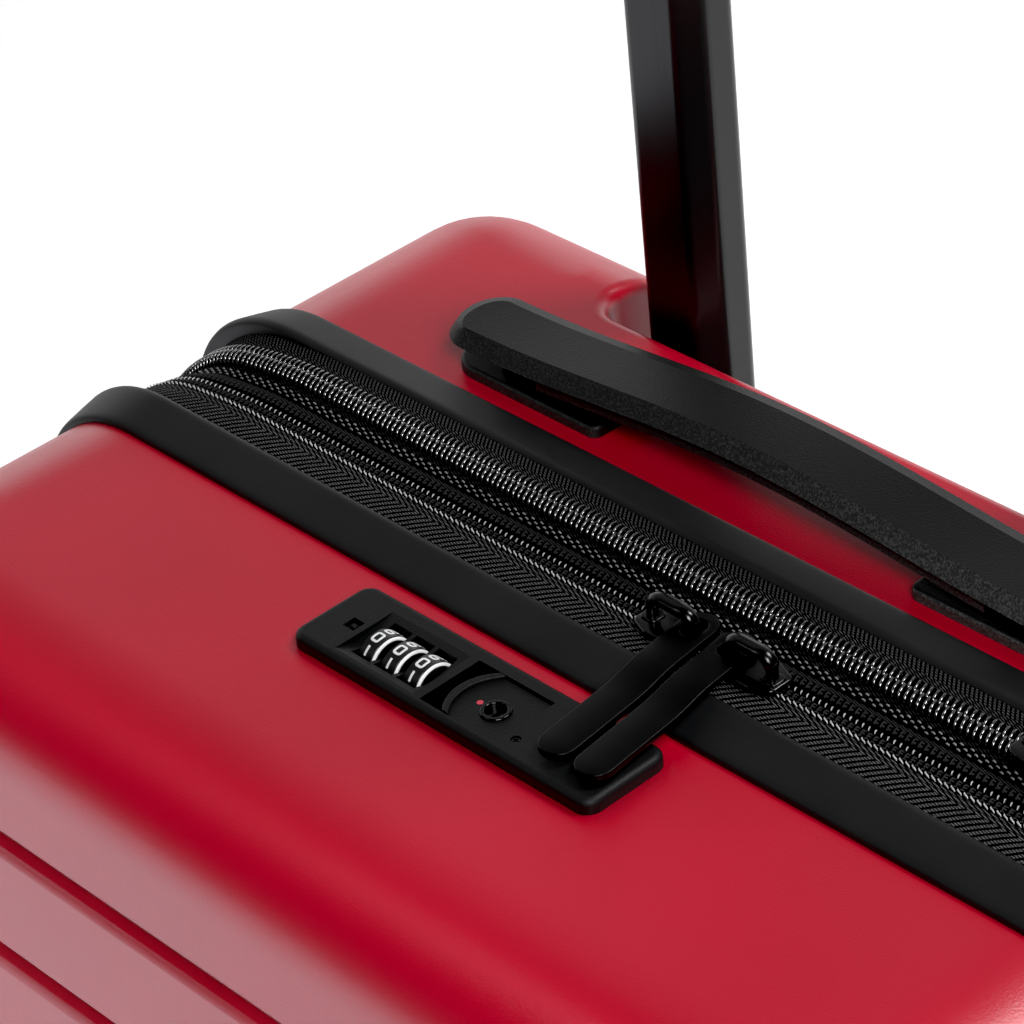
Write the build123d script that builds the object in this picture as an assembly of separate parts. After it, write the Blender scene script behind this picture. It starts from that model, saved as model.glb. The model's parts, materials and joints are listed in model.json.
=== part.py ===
"""Cabin-size hard shell suitcase on four swivelling twin wheels.

Millimetres, +Z up, +Y to the back, -Y the front face, +X to the right when the front is faced.
Origin on the floor under the middle of the case.  The telescopic handle stands fully drawn out.
"""
import os
from math import cos, sin, radians, pi

from build123d import *

# ---------------------------------------------------------------- driving dimensions
W = 384.0            # case width over the shells
HW = W / 2
Z_TOP = 535.0        # top face of the shells
Z_BOT = 50.0         # bottom face of the shells
H = Z_TOP - Z_BOT
ZC = (Z_TOP + Z_BOT) / 2
Y_F, Y_B = -124.0, 124.0   # front face, back face
R_C = 41.0           # corner radius seen from the front
R_E = 29.0           # radius between faces and sides
T = 2.4              # shell wall
RIM = 28.0           # |Y| of the shell rims
GROOVES = 10
GROOVE_1 = 50.0      # top lip of the first groove below the top face
GROOVE_PITCH = 42.6
GROOVE_A, GROOVE_D = 5.3, 2.75    # height of the upper flank, depth

# rim bead, zips
TRIM_OUT, TRIM_IN = 34.5, 20.2   # |Y| of the two edges of the rim bead
ZIP_Y = -9.4         # centre line of the opening zip and axis of the cloth hinge
XZIP_Y = 9.0         # centre line of the expansion zip
HINGE_X = 198.5
EXPAND = 35.0

# notch for the telescopic handle
N_X, N_Y, N_Z, N_R = 101.0, 86.5, 489.0, 10.0
TUBE_X, TUBE_Y = 77.0, 103.0
STAGE = 195.0        # travel of each telescopic stage

# lock
LX, LY = 3.75, -54.3
LOCK_L, LOCK_W, LOCK_T = 102.5, 26.4, 3.9
DIAL_X = (-27.0, -19.15, -11.3)
DIAL_Y, DIAL_Z = -55.5, Z_TOP - 1.5
DIAL_R, DIAL_W = 6.9, 5.6
DISH_X = (-33.5, -6.0)            # ends of the hollow that the dials stand in
DISH = ((-64.7, 0.0), (-57.9, -2.06), (-46.05, 0.0))   # its section: Y, height under the plate's face

# carry handles
HANDLE_Y = 51.5
LIFT = 8.0

# casters
CAST_X, CAST_Y = 157.0, 91.0
WHEEL_R, WHEEL_Z, TRAIL = 22.5, 22.5, 10.0
POCKET_X, POCKET_Y, POCKET_Z = 126.0, 62.0, 84.0

os.makedirs("parts", exist_ok=True)
NODES = {}


def keep(name, *shapes):
    shape = shapes[0] if len(shapes) == 1 else Compound(children=list(shapes))
    NODES[name] = shape
    export_step(shape, "parts/%s.step" % name)


def bx(x0, x1, y0, y1, z0, z1):
    x0, x1 = sorted((x0, x1))
    y0, y1 = sorted((y0, y1))
    z0, z1 = sorted((z0, z1))
    return Pos((x0 + x1) / 2, (y0 + y1) / 2, (z0 + z1) / 2) * Box(x1 - x0, y1 - y0, z1 - z0)


def rbx(x0, x1, y0, y1, z0, z1, r):
    b = bx(x0, x1, y0, y1, z0, z1)
    return fillet(b.edges(), r)


def cz(x, y, z0, z1, r):
    return Pos(x, y, (z0 + z1) / 2) * Cylinder(r, z1 - z0)


def cx(x0, x1, y, z, r):
    return Pos((x0 + x1) / 2, y, z) * Rot(0, 90, 0) * Cylinder(r, abs(x1 - x0))


def prism(w, h, r, y0, y1, zc=ZC):
    """Rounded rectangle seen from the front, from y0 to y1."""
    return Pos(0, y1, zc) * extrude(Plane.XZ * RectangleRounded(w, h, r), y1 - y0)


def band(y0, y1, n0, n1):
    """Closed strip round the case, n0..n1 outside the shell face."""
    a = prism(W + 2 * n1, H + 2 * n1, R_C + n1, y0, y1)
    b = prism(W + 2 * n0, H + 2 * n0, R_C + n0, y0 - 1, y1 + 1)
    return a - b


def half(sign, inset, rim, extra=0.0):
    """One half of the case as a solid: sign -1 front, +1 back."""
    r = R_E - inset
    if sign < 0:
        s = prism(W - 2 * inset, H - 2 * inset, R_C - inset, Y_F + inset, -rim)
        f = s.faces().sort_by(Axis.Y)[0]
    else:
        s = prism(W - 2 * inset, H - 2 * inset, R_C - inset, rim, Y_B - inset)
        f = s.faces().sort_by(Axis.Y)[-1]
    return fillet(f.edges(), r)


def pockets(sign, grow):
    """The two wheel corners of one half."""
    out = []
    for sx in (-1, 1):
        out.append(
            rbx(
                sx * (POCKET_X - grow), sx * 260,
                sign * (POCKET_Y - grow), sign * 200,
                -40, POCKET_Z + grow, 10 + grow,
            )
        )
    return out


def grooves(sign, depth=0.0):
    """Cutters of the grooves across one face, their lips this deep in it: a straight upper flank, a steeper lower one
    that rolls out into the panel."""
    out = []
    yf = Y_F if sign < 0 else Y_B
    d = -sign
    for i in range(GROOVES):
        z = Z_TOP - GROOVE_1 - i * GROOVE_PITCH

        def at(u, v):
            return (yf + (depth + u) * d, z - v)

        with BuildSketch(Plane.YZ) as sk:
            with BuildLine():
                Polyline(at(-1.0, -GROOVE_A / GROOVE_D), at(GROOVE_D, GROOVE_A), at(1.005, 8.32))
                ThreePointArc(at(1.005, 8.32), at(0.227, 10.12), at(-0.03, 12.07))
                Polyline(at(-0.03, 12.07), at(-1.0, 12.07), at(-1.0, -GROOVE_A / GROOVE_D))
            make_face()
            fillet(sk.vertices().sort_by(Axis.Y)[-1 if d > 0 else 0], 0.9)
        out.append(extrude(sk.sketch, 220, both=True))
    return out


# ---------------------------------------------------------------- shells
front_full = half(-1, 0, RIM)
back_full = half(1, 0, RIM)
front_in = half(-1, T, RIM - 2)
back_in = half(1, T, RIM - 2)

f_out = front_full
for c in grooves(-1) + pockets(-1, 0):
    f_out = f_out - c
f_in = front_in
for c in grooves(-1, T) + pockets(-1, T):
    f_in = f_in - c
front_shell = f_out - f_in
front_shell = front_shell - bx(LX - 49.5, LX + 49.5, LY - 11, LY + 11, Z_TOP - 8, Z_TOP + 8)


def notch(grow):
    b = bx(-(N_X + grow), N_X + grow, N_Y - grow, 160, N_Z - grow, 600)
    v = b.edges().filter_by(Axis.Z).group_by(Axis.Y)[0]
    b = fillet(v, N_R + grow)
    low = b.faces().sort_by(Axis.Z)[0].edges().filter_by(lambda e: e.center().Y < 150)
    return fillet(low, 2 + grow)


b_out = back_full - notch(0)
lip = b_out.edges().filter_by(
    lambda e: abs(abs(e.center().X) - N_X) < 0.2 and e.center().Z > N_Z + 12
    or abs(e.center().Z - Z_TOP) < 0.01 and N_Y - 0.5 < e.center().Y < N_Y + N_R and abs(e.center().X) < N_X + 0.1
)
try:
    b_out = fillet(lip, 4.0)
except Exception as err:
    print("notch lip left sharp:", err)
for c in grooves(1) + pockets(1, 0):
    b_out = b_out - c
b_in = back_in - notch(T)
for c in grooves(1, T) + pockets(1, T):
    b_in = b_in - c
back_shell = b_out - b_in


def tube_section(w, d, c):
    """Oblong with its corners cut off by c and the eight edges rolled."""
    return fillet(chamfer(Rectangle(w, d).vertices(), c).vertices(), 0.62 * c)


def tube(x, y, z0, z1, w, d, c, wall=0.0):
    s = tube_section(w, d, c)
    if wall:
        s = s - tube_section(w - 2 * wall, d - 2 * wall, max(c - 0.6 * wall, 0.5))
    return Pos(x, y, z0) * extrude(s, z1 - z0)


for sx in (-1, 1):
    back_shell = back_shell - tube(sx * TUBE_X, TUBE_Y, N_Z - 8, N_Z + 8, 34.7, 26.5, 7.4)

# ---------------------------------------------------------------- carry handle, in its own place: x along, y across, z out of the shell
CAP_L, CAP_W = 227.0, 22.5
CAP_N, CAP_RISE = 13.6, 6.4        # height of the cap's top at its ends, and how much higher its middle is
CAP_T = 5.0
CAP_FRONT, CAP_BACK = 2.6, 3.75    # how far the front flank and the back bevel run in
CAP_DROP = 1.2                     # height of the back bevel
CAP_TIP = (0.0, 2.6, 6.0)          # how far the round ends run in at the three heights
FOOT_X, FOOT_L, FOOT_N = 81.0, 56.0, 3.3


def cap_end(xe):
    """Round end of the cap beyond x = xe, with its slanting rim."""
    r = CAP_W / 2
    levels = (
        (CAP_N - CAP_T, -r, r, CAP_TIP[0]),
        (CAP_N - CAP_DROP, -r + CAP_FRONT * (1 - CAP_DROP / CAP_T), r, CAP_TIP[1]),
        (CAP_N, -r + CAP_FRONT, r - CAP_BACK, CAP_TIP[2]),
    )
    faces = []
    for z, ya, yb, run in levels:
        with BuildSketch(Plane.XY.offset(z)) as sk:
            with BuildLine():
                EllipticalCenterArc((xe, (ya + yb) / 2), r - run, (yb - ya) / 2, -90, arc_size=180)
                Line((xe, yb), (xe, ya))
            make_face()
        faces.append(sk.sketch.faces()[0])
    return loft(faces, ruled=True)


def handle_cap():
    r = CAP_W / 2
    xe = CAP_L / 2 - r
    xs = [xe * (i / 6 - 1) for i in range(13)]
    path = Spline(*[(x, 0, CAP_N + CAP_RISE * (1 + cos(pi * x / xe)) / 2) for x in xs], tangents=((1, 0, 0), (1, 0, 0)))
    start = Plane(origin=(-xe, 0, CAP_N), x_dir=(0, 1, 0), z_dir=(1, 0, 0))
    cap = [(-r, -CAP_T), (-r + CAP_FRONT, 0), (r - CAP_BACK, 0), (r, -CAP_DROP), (r, -CAP_T)]
    s = sweep(start * Polygon(*cap, align=None), path)
    core = [(-8.4, -CAP_T - 2.2), (-8.4, -CAP_T + 0.6), (8.4, -CAP_T + 0.6), (8.4, -CAP_T - 2.2)]
    s = s + sweep(start * Polygon(*core, align=None), path)
    end = cap_end(xe)
    s = s + end + mirror(end, about=Plane.YZ)
    for sx in (-1, 1):
        s = s + bx(sx * 80, sx * 92, -6, 6, -2.6, 10.5)
        s = s + bx(sx * 77, sx * 95, -6, 6, -14.0, -T - LIFT - 0.4)
        s = s + bx(sx * 80, sx * 92, -6, 6, -12, -2)
    return s


def handle_foot(sx):
    plan = Pos(sx * FOOT_X, 0) * Rectangle(FOOT_L, CAP_W - 0.6)
    ends = plan.vertices().group_by(Axis.X)
    plan = fillet(ends[-1] if sx > 0 else ends[0], 9.5)
    ends = plan.vertices().sort_by(Axis.X)
    plan = fillet(ends[:2] if sx > 0 else ends[-2:], 3.0)
    f = extrude(plan, FOOT_N - 0.05)
    f = fillet(f.faces().sort_by(Axis.Z)[-1].edges(), 1.2)
    f = Pos(0, 0, 0.05) * f
    return f - bx(sx * 79.5, sx * 92.5, -6.5, 6.5, -5, 20)


def handle_screws():
    out = []
    for sx in (-1, 1):
        for x in (60.0, 72.0):
            out.append(cz(sx * x, 0, -7.0, 1.2, 1.7) + cz(sx * x, 0, 1.2, 3.0, 3.2))
    return out


PL_TOP = Plane(origin=(0, HANDLE_Y, Z_TOP), x_dir=(1, 0, 0), z_dir=(0, 0, 1))


def handle_holes(pl):
    out = []
    for sx in (-1, 1):
        out.append(pl * bx(sx * 79.5, sx * 92.5, -6.5, 6.5, -8, 1))
        for x in (60.0, 72.0):
            out.append(pl * cz(sx * x, 0, -8, 1, 1.7))
    return out


for c in handle_holes(PL_TOP):
    back_shell = back_shell - c

keep("carry_handle", PL_TOP * handle_cap())
for sx, side in ((-1, "left"), (1, "right")):
    f = handle_foot(sx)
    for x in (60.0, 72.0):
        f = f - cz(sx * x, 0, -1, 1.2, 1.7) - cz(sx * x, 0, 1.2, 9, 3.4)
    keep("handle_foot_" + side, PL_TOP * f)
keep("handle_screws", *[PL_TOP * s for s in handle_screws()])

keep("front_shell", front_shell)
keep("back_shell", back_shell)


# ---------------------------------------------------------------- rim beads
def trim(sign):
    pts = [
        (34.5, 0.06), (34.5, 1.4), (33.5, 2.35), (22.4, 4.7), (21.0, 4.5), (20.2, 3.6),
        (20.2, -4.0), (31.5, -4.0), (31.5, -T - 0.06), (27.94, -T - 0.06), (27.94, 0.06),
    ]
    # profile in the plane X = 0 at the middle of the top: local (Y, Z)
    face = Plane.YZ * Polygon(*[(sign * y, Z_TOP + n) for y, n in pts], align=None)
    a, b = HW - R_C, Z_TOP - R_C
    lo = Z_BOT + R_C
    with BuildLine() as path:
        Line((0, 0, Z_TOP), (a, 0, Z_TOP))
        Line((HW, 0, b), (HW, 0, lo))
        Line((a, 0, Z_BOT), (-a, 0, Z_BOT))
        Line((-HW, 0, lo), (-HW, 0, b))
        Line((-a, 0, Z_TOP), (0, 0, Z_TOP))
        k = R_C * (1 - cos(pi / 4))
        ThreePointArc((a, 0, Z_TOP), (HW - k, 0, Z_TOP - k), (HW, 0, b))
        ThreePointArc((HW, 0, lo), (HW - k, 0, Z_BOT + k), (a, 0, Z_BOT))
        ThreePointArc((-a, 0, Z_BOT), (-HW + k, 0, Z_BOT + k), (-HW, 0, lo))
        ThreePointArc((-HW, 0, b), (-HW + k, 0, Z_TOP - k), (-a, 0, Z_TOP))
    return sweep(face, path.wire())


keep("front_rim_trim", trim(-1))
keep("back_rim_trim", trim(1))

# ---------------------------------------------------------------- zips: tape and coil row of each half
hinge_gap = bx(150, 230, -60, 60, 125, 460)
hinge_cut = bx(150, 230, -60, 60, 128, 457)
keep(
    "main_zip_front",
    band(-20.1, -11.0, 3.0, 4.0) - hinge_gap,
    band(-13.1, -11.0, 1.0, 2.9) - hinge_gap,
)
keep(
    "main_zip_back",
    band(-7.8, 1.1, 3.0, 4.0) - hinge_gap,
    band(-7.8, -5.7, 1.0, 2.9) - hinge_gap,
)
keep("hinge_cloth", band(-20.0, 1.1, 3.0, 4.0) & hinge_cut)
keep("expander_zip_front", band(1.3, 7.4, 2.6, 3.5), band(3.4, 7.5, 3.6, 7.0))
keep("expander_zip_back", band(10.6, 20.1, 2.6, 3.5), band(10.5, 14.6, 3.6, 7.0))
keep("expander_gusset", band(2.0, 19.6, -3.6, -2.6))


# ---------------------------------------------------------------- sliders and pull tabs
def slider(length, width, n_low, n_top, post):
    """Slider lying along x, z = height over the shell face, y across."""
    top = extrude(RectangleRounded(length, width, 3.2), 1.9)
    top = fillet(top.faces().sort_by(Axis.Z)[-1].edges(), 0.7)
    low = Pos(0, 0, n_low - 1.4 - n_top) * extrude(RectangleRounded(length, width, 3.2), 1.4)
    web = bx(-length / 2 + 5, length / 2 - 5, -post / 2, post / 2, n_low - 1.0 - n_top, 0.5)
    with BuildPart() as bail:
        with BuildSketch(Plane.XZ):
            with BuildLine():
                Line((-8.0, 0.8), (-8.0, 5.4))
                ThreePointArc((-8.0, 5.4), (-6.83, 8.03), (-4.2, 9.2))
                Line((-4.2, 9.2), (4.2, 9.2))
                ThreePointArc((4.2, 9.2), (6.83, 8.03), (8.0, 5.4))
                Polyline((8.0, 5.4), (8.0, 0.8), (5.5, 0.8), (5.5, 5.2))
                ThreePointArc((5.5, 5.2), (4.97, 6.47), (3.7, 7.0))
                Line((3.7, 7.0), (-3.7, 7.0))
                ThreePointArc((-3.7, 7.0), (-4.97, 6.47), (-5.5, 5.2))
                Line((-5.5, 5.2), (-5.5, 0.8))
                Line((-5.5, 0.8), (-8.0, 0.8))
            make_face()
        extrude(amount=1.5, both=True)
    return Pos(0, 0, n_top) * (top + low + web + bail.part)


PULL_W, PULL_T, PULL_ROOT = 9.6, 1.9, 7.0


def pull(length, drop):
    """Pull tab: root hole round the bail leg at the origin, tab towards -y, stepping down by drop on its way out."""
    w, t = PULL_W, PULL_T
    prof = [(PULL_ROOT, 0.0), (-13.0, 0.0), (-27.0, -drop), (-length, -drop)] if drop else [(PULL_ROOT, 0.0), (-length, 0.0)]
    pts = prof + [(y, z + t) for y, z in reversed(prof)]
    body = extrude(Plane.YZ * Polygon(*pts, align=None), w / 2, both=True)
    full = length + PULL_ROOT
    plan = Pos(0, (PULL_ROOT - length) / 2, -10) * extrude(Rot(0, 0, 90) * SlotOverall(full, w), 30)
    return (body & plan) - Pos(0, 0.4, -10) * extrude(RectangleRounded(5.0, 7.2, 2.4), 20)


N_MAIN, N_EXP = 4.6, 7.4    # undersides of the slider tops over the shell face
LEG = {"left": 31.6, "right": 43.4}
for side, leg in LEG.items():
    x = leg - 6.75 if side == "left" else leg + 6.75
    keep("slider_" + side, Pos(x, ZIP_Y, Z_TOP) * slider(20.0, 12.0, 0.6, N_MAIN, 2.2))
    keep("pull_" + side, Pos(leg, ZIP_Y, Z_TOP + N_MAIN + 2.5) * Rot(0, 0, 6.1) * pull(54.0, 1.3))

XS_X = 126.0
keep("expander_slider", Pos(XS_X, XZIP_Y, Z_TOP) * slider(20.0, 14.0, 2.2, N_EXP, 2.0))
keep("expander_pull", Pos(XS_X + 6.75, XZIP_Y, Z_TOP + N_EXP + 2.5) * Rot(0, 0, 180.0) * pull(27.0, 0.0))

# ---------------------------------------------------------------- lock
plate = Pos(LX, LY, Z_TOP + 0.06) * extrude(RectangleRounded(LOCK_L, LOCK_W, 4.2), LOCK_T)
plate = fillet(plate.faces().sort_by(Axis.Z)[-1].edges(), 1.9)
zt = Z_TOP + 0.06 + LOCK_T
(da, _), (db, deep), (dc, _) = DISH
wedge = [(da + (da - db) * 0.5, zt - deep * 0.5), (db, zt + deep), (dc + (dc - db) * 0.5, zt - deep * 0.5)]
dish = Pos((DISH_X[0] + DISH_X[1]) / 2, 0, 0) * extrude(Plane.YZ * Polygon(*wedge, align=None), (DISH_X[1] - DISH_X[0]) / 2, both=True)
plate = plate - dish
for x in DIAL_X:
    plate = plate - bx(x - DIAL_W / 2 - 0.5, x + DIAL_W / 2 + 0.5, -62.6, -48.4, Z_TOP - 2, zt + 4)
SLX0, SLX1, SLY0, SLY1 = -3.3, 22.3, -65.0, -45.8
plate = plate - bx(SLX0, SLX1, SLY0, SLY1, Z_TOP - 1, zt + 3)
KX, KY = 13.3, -56.2
RX, RY = -37.2, -55.4
plate = plate - bx(RX - 1.9, RX + 1.9, RY - 1.9, RY + 1.9, Z_TOP - 1, zt + 3)
for x in (36.5, 48.5):   # slots that take the pull tabs
    plate = plate - bx(x - 2.4, x + 2.4, -60, -47, Z_TOP + 1.5, zt + 3)
SX, SY = 25.1, -61.0
plate = plate - cz(SX, SY, Z_TOP - 1, zt + 1, 0.9) - cz(SX, SY, zt - 1.3, zt + 1, 1.3)
keep("lock_plate", plate)
screw = cz(SX, SY, Z_TOP - 6, zt - 1.2, 0.9) + cz(SX, SY, zt - 1.3, zt - 0.35, 1.15)
screw = screw - bx(SX - 0.8, SX + 0.8, SY - 0.17, SY + 0.17, zt - 0.75, zt) - bx(SX - 0.17, SX + 0.17, SY - 0.8, SY + 0.8, zt - 0.75, zt)
keep("lock_screw", screw)

body = bx(LX - 49, LX + 49, LY - 10.5, LY + 10.5, Z_TOP - 18, Z_TOP)
body = body - bx(-32.0, -6.4, DIAL_Y - 7.8, DIAL_Y + 7.8, Z_TOP - 13.4, Z_TOP + 2)
body = body - bx(-3.6, 23.2, -64.0, -47.0, Z_TOP - 9, Z_TOP + 2)
body = body - bx(RX - 2.2, RX + 2.2, RY - 2.2, RY + 2.2, Z_TOP - 9, Z_TOP + 2)
body = body - cx(-34.5, -4.4, DIAL_Y, DIAL_Z, 1.2) - cz(SX, SY, Z_TOP - 6, Z_TOP + 2, 0.9)
keep("lock_body", body)
keep("dial_shaft", cx(-34.4, -4.5, DIAL_Y, DIAL_Z, 1.2))
for i, x in enumerate(DIAL_X):
    d = cx(x - DIAL_W / 2, x + DIAL_W / 2, DIAL_Y, DIAL_Z, DIAL_R)
    d = chamfer(d.edges().filter_by(GeomType.CIRCLE), 0.6)
    keep("dial_%d" % (i + 1), d - cx(x - 5, x + 5, DIAL_Y, DIAL_Z, 1.26))

# release slide: its thumb edge is a curved ridge
zs = zt - 0.8
with BuildSketch() as sk:
    with BuildLine():
        ThreePointArc((3.9, SLY0 + 0.4), (0.0, -55.5), (3.9, SLY1 - 0.4))
        Polyline((3.9, SLY1 - 0.4), (SLX1 - 0.4, SLY1 - 0.4), (SLX1 - 0.4, SLY0 + 0.4), (3.9, SLY0 + 0.4))
    make_face()
with BuildSketch() as rk:
    with BuildLine():
        ThreePointArc((3.9, SLY0 + 0.4), (0.0, -55.5), (3.9, SLY1 - 0.4))
        Line((3.9, SLY1 - 0.4), (6.1, SLY1 - 0.4))
        ThreePointArc((6.1, SLY1 - 0.4), (2.3, -55.5), (6.1, SLY0 + 0.4))
        Line((6.1, SLY0 + 0.4), (3.9, SLY0 + 0.4))
    make_face()
sl = Pos(0, 0, Z_TOP + 1.2) * extrude(sk.sketch, zs - Z_TOP - 1.2)
ridge = Pos(0, 0, Z_TOP + 1.4) * extrude(rk.sketch, zt + 0.25 - Z_TOP - 1.4)
ridge = fillet(ridge.edges().filter_by(lambda e: e.center().Z > zt + 0.2 and e.length > 10), 0.5)
sl = sl + ridge
sl = sl + bx(6.5, 19.5, KY - 5, KY + 5, Z_TOP - 6, Z_TOP + 1.4)
sl = sl - cz(KX, KY, Z_TOP - 7, zt + 3, 3.9)
keep("lock_slide", sl)
key = cz(KX, KY, Z_TOP - 5.5, zt - 0.2, 3.85) - cz(KX, KY, zt - 1.9, zt + 1, 2.7)
key = fillet(key.edges().filter_by(GeomType.CIRCLE).group_by(Axis.Z)[-1], 0.35)
key = key - bx(KX - 0.6, KX + 0.6, KY - 2.3, KY + 2.3, Z_TOP - 1, zt)
keep("key_cylinder", key)
pin = cz(RX, RY, zt - 1.4, zt - 0.3, 0.8)
pin = fillet(pin.edges().filter_by(GeomType.CIRCLE).group_by(Axis.Z)[-1], 0.4)
keep("reset_button", bx(RX - 1.5, RX + 1.5, RY - 1.5, RY + 1.5, Z_TOP - 6, zt - 1.1) + pin)

# ---------------------------------------------------------------- telescopic handle
outer, bez, mid, col, inn, plug = [], [], [], [], [], []
for sx in (-1, 1):
    x = sx * TUBE_X
    outer.append(tube(x, TUBE_Y, 72.0, 486.0, 32.7, 24.5, 6.9, 1.4))
    b = tube(x, TUBE_Y, N_Z + 0.06, N_Z + 4.0, 40.0, 29.0, 8.4) + tube(x, TUBE_Y, 486.3, N_Z + 1, 34.1, 25.9, 7.2)
    bez.append(b - tube(x, TUBE_Y, 480, 500, 30.0, 21.7, 6.1))
    mid.append(tube(x, TUBE_Y, 78.0 + STAGE, 501.0 + STAGE, 29.2, 20.9, 5.9, 1.4))
    c = tube(x, TUBE_Y, 493.6 + STAGE, 501.6 + STAGE, 31.8, 23.5, 6.5) - tube(x, TUBE_Y, 480 + STAGE, 501.0 + STAGE, 29.2, 20.9, 5.9)
    col.append(c - tube(x, TUBE_Y, 480 + STAGE, 520 + STAGE, 25.0, 17.0, 4.6))
    inn.append(tube(x, TUBE_Y, 90.0 + 2 * STAGE, 518.0 + 2 * STAGE, 24.2, 16.2, 4.2, 1.3))
    p = tube(x, TUBE_Y, 82.0 + 2 * STAGE, 102.0 + 2 * STAGE, 21.4, 13.4, 3.8) + tube(x, TUBE_Y, 82.0 + 2 * STAGE, 89.9 + 2 * STAGE, 24.2, 16.2, 4.2)
    plug.append(p - cz(x, TUBE_Y, 70 + 2 * STAGE, 110 + 2 * STAGE, 2.4))
keep("telescope_outer_tubes", *outer)
keep("telescope_bezels", *bez)
keep("telescope_middle_tubes", *mid)
keep("telescope_collars", *col)
keep("telescope_inner_tubes", *inn)
keep("telescope_guides", *plug)
br = bx(-98, 98, 90, 112, 62.0, 71.9)
br = fillet(br.edges().filter_by(Axis.Z), 6)
for sx in (-1, 1):
    br = br + tube(sx * TUBE_X, TUBE_Y, 71.5, 75.5, 29.3, 21.1, 5.9)
keep("telescope_base", br)

G0 = 502.0 + 2 * STAGE      # underside of the drawn-out grip
G1 = 535.0 + 2 * STAGE
grip = bx(-94, 94, 90.5, 117.5, G0, G1)
grip = fillet(grip.edges().filter_by(Axis.Z), 9)
grip = fillet(grip.edges().filter_by(lambda e: e.center().Z > G1 - 0.01 or e.center().Z < G0 + 0.01), 5)
for sx in (-1, 1):
    grip = grip - tube(sx * TUBE_X, TUBE_Y, G0 - 5, 518.0 + 2 * STAGE, 24.2, 16.2, 4.2)
grip = grip - bx(-84, 84, 97.5, 108.5, 518.2 + 2 * STAGE, 526.0 + 2 * STAGE)
for sx in (-1, 1):
    grip = grip - cz(sx * TUBE_X, TUBE_Y, 500 + 2 * STAGE, 520 + 2 * STAGE, 4.0)
grip = grip - Pos(0, 104, 520 + 2 * STAGE) * extrude(SlotOverall(46.0, 14.0), 30)
keep("telescope_grip", grip)
btn = Pos(0, 104, 522.6 + 2 * STAGE) * extrude(SlotOverall(45.2, 13.2), 14.4)
btn = fillet(btn.faces().sort_by(Axis.Z)[-1].edges(), 1.6)
keep("telescope_button", btn)
link = bx(-82, 82, 99.0, 107.0, 521.4 + 2 * STAGE, 522.5 + 2 * STAGE)
for sx in (-1, 1):
    link = link + cz(sx * TUBE_X, TUBE_Y, 86.0 + 2 * STAGE, 522.0 + 2 * STAGE, 2.0)
keep("telescope_rods", link)

# ---------------------------------------------------------------- swivelling wheels
for sy, half_name, full, inner in ((-1, "front", front_full, front_in), (1, "back", back_full, back_in)):
    blocks = []
    for k, sx in enumerate((-1, 1)):
        block = full & pockets(sy, -0.35)[k]
        hollow = (half(sy, 3.4, RIM) & pockets(sy, -4.0)[k])
        hollow = hollow + Pos(0, 0, -8) * hollow
        hollow = hollow - cz(sx * CAST_X, sy * CAST_Y, 30, 100, 12.0)
        block = block - hollow
        block = block - cz(sx * CAST_X, sy * CAST_Y, 40, 72, 5.06)
        blocks.append(block)
    keep(half_name + "_wheel_housings", *blocks)

for sy, fb in ((-1, "f"), (1, "b")):
    for sx, lr in ((-1, "l"), (1, "r")):
        place = Pos(sx * CAST_X, sy * CAST_Y, 0)
        fork = cz(0, 0, 45.8, 49.4, 16.5)
        ring = cx(-15.6, 15.6, TRAIL, WHEEL_Z, WHEEL_R + 2.4) - cx(-20, 20, TRAIL, WHEEL_Z, WHEEL_R + 0.8)
        ring = ring & bx(-30, 30, TRAIL - 23.5, TRAIL + 20, 34.5, 60)
        fork = fork + ring
        web = bx(-4.4, 4.4, -11, TRAIL + 9, WHEEL_Z + 9, 47) + cx(-4.4, 4.4, TRAIL, WHEEL_Z, 9.5) + bx(-4.4, 4.4, TRAIL - 9.5, TRAIL + 9, WHEEL_Z, WHEEL_Z + 10)
        fork = fork + web
        fork = fork - cx(-30, 30, TRAIL, WHEEL_Z, 2.5)
        fork = fork + cz(0, 0, 47, 70, 5.0)
        keep("fork_" + fb + lr, place * fork)
        keep("axle_" + fb + lr, place * cx(-15.9, 15.9, TRAIL, WHEEL_Z, 2.5))
        wheels = []
        for s in (-1, 1):
            w = cx(s * 4.9, s * 15.3, TRAIL, WHEEL_Z, WHEEL_R)
            rim_edges = w.edges().filter_by(GeomType.CIRCLE)
            w = fillet(rim_edges, 2.4)
            w = w - cx(s * 13.4, s * 16, TRAIL, WHEEL_Z, 14.5)
            w = w + cx(s * 13.0, s * 15.0, TRAIL, WHEEL_Z, 6.0)
            w = w - cx(s * 3, s * 17, TRAIL, WHEEL_Z, 2.57)
            wheels.append(w)
        keep("wheels_" + fb + lr, *[place * w for w in wheels])

# ---------------------------------------------------------------- lining, packing straps
L_X = 186.0


def lining(sign):
    z0, z1 = 62.0, (Z_TOP - 22.0 if sign < 0 else Z_TOP - 17.0)
    ya, yb = (-118.0, -31.9) if sign < 0 else (31.9, 77.0)
    t = 1.2

    def sol(i, g):
        zc, h = (z0 + z1) / 2, z1 - z0 - 2 * i
        if sign < 0:
            s = prism(2 * (L_X - i), h, 38.0 - i, ya + i, yb + (5 if i else 0), zc)
            f = s.faces().sort_by(Axis.Y)[0]
        else:
            s = prism(2 * (L_X - i), h, 38.0 - i, ya - (5 if i else 0), yb - i, zc)
            f = s.faces().sort_by(Axis.Y)[-1]
        s = fillet(f.edges(), 22.0 - i)
        for c in pockets(sign, g):
            s = s - c
        return s

    return sol(0, T + 1.0) - sol(t, T + 1.0 + t)


keep("front_lining", lining(-1))
keep("back_lining", lining(1))

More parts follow.
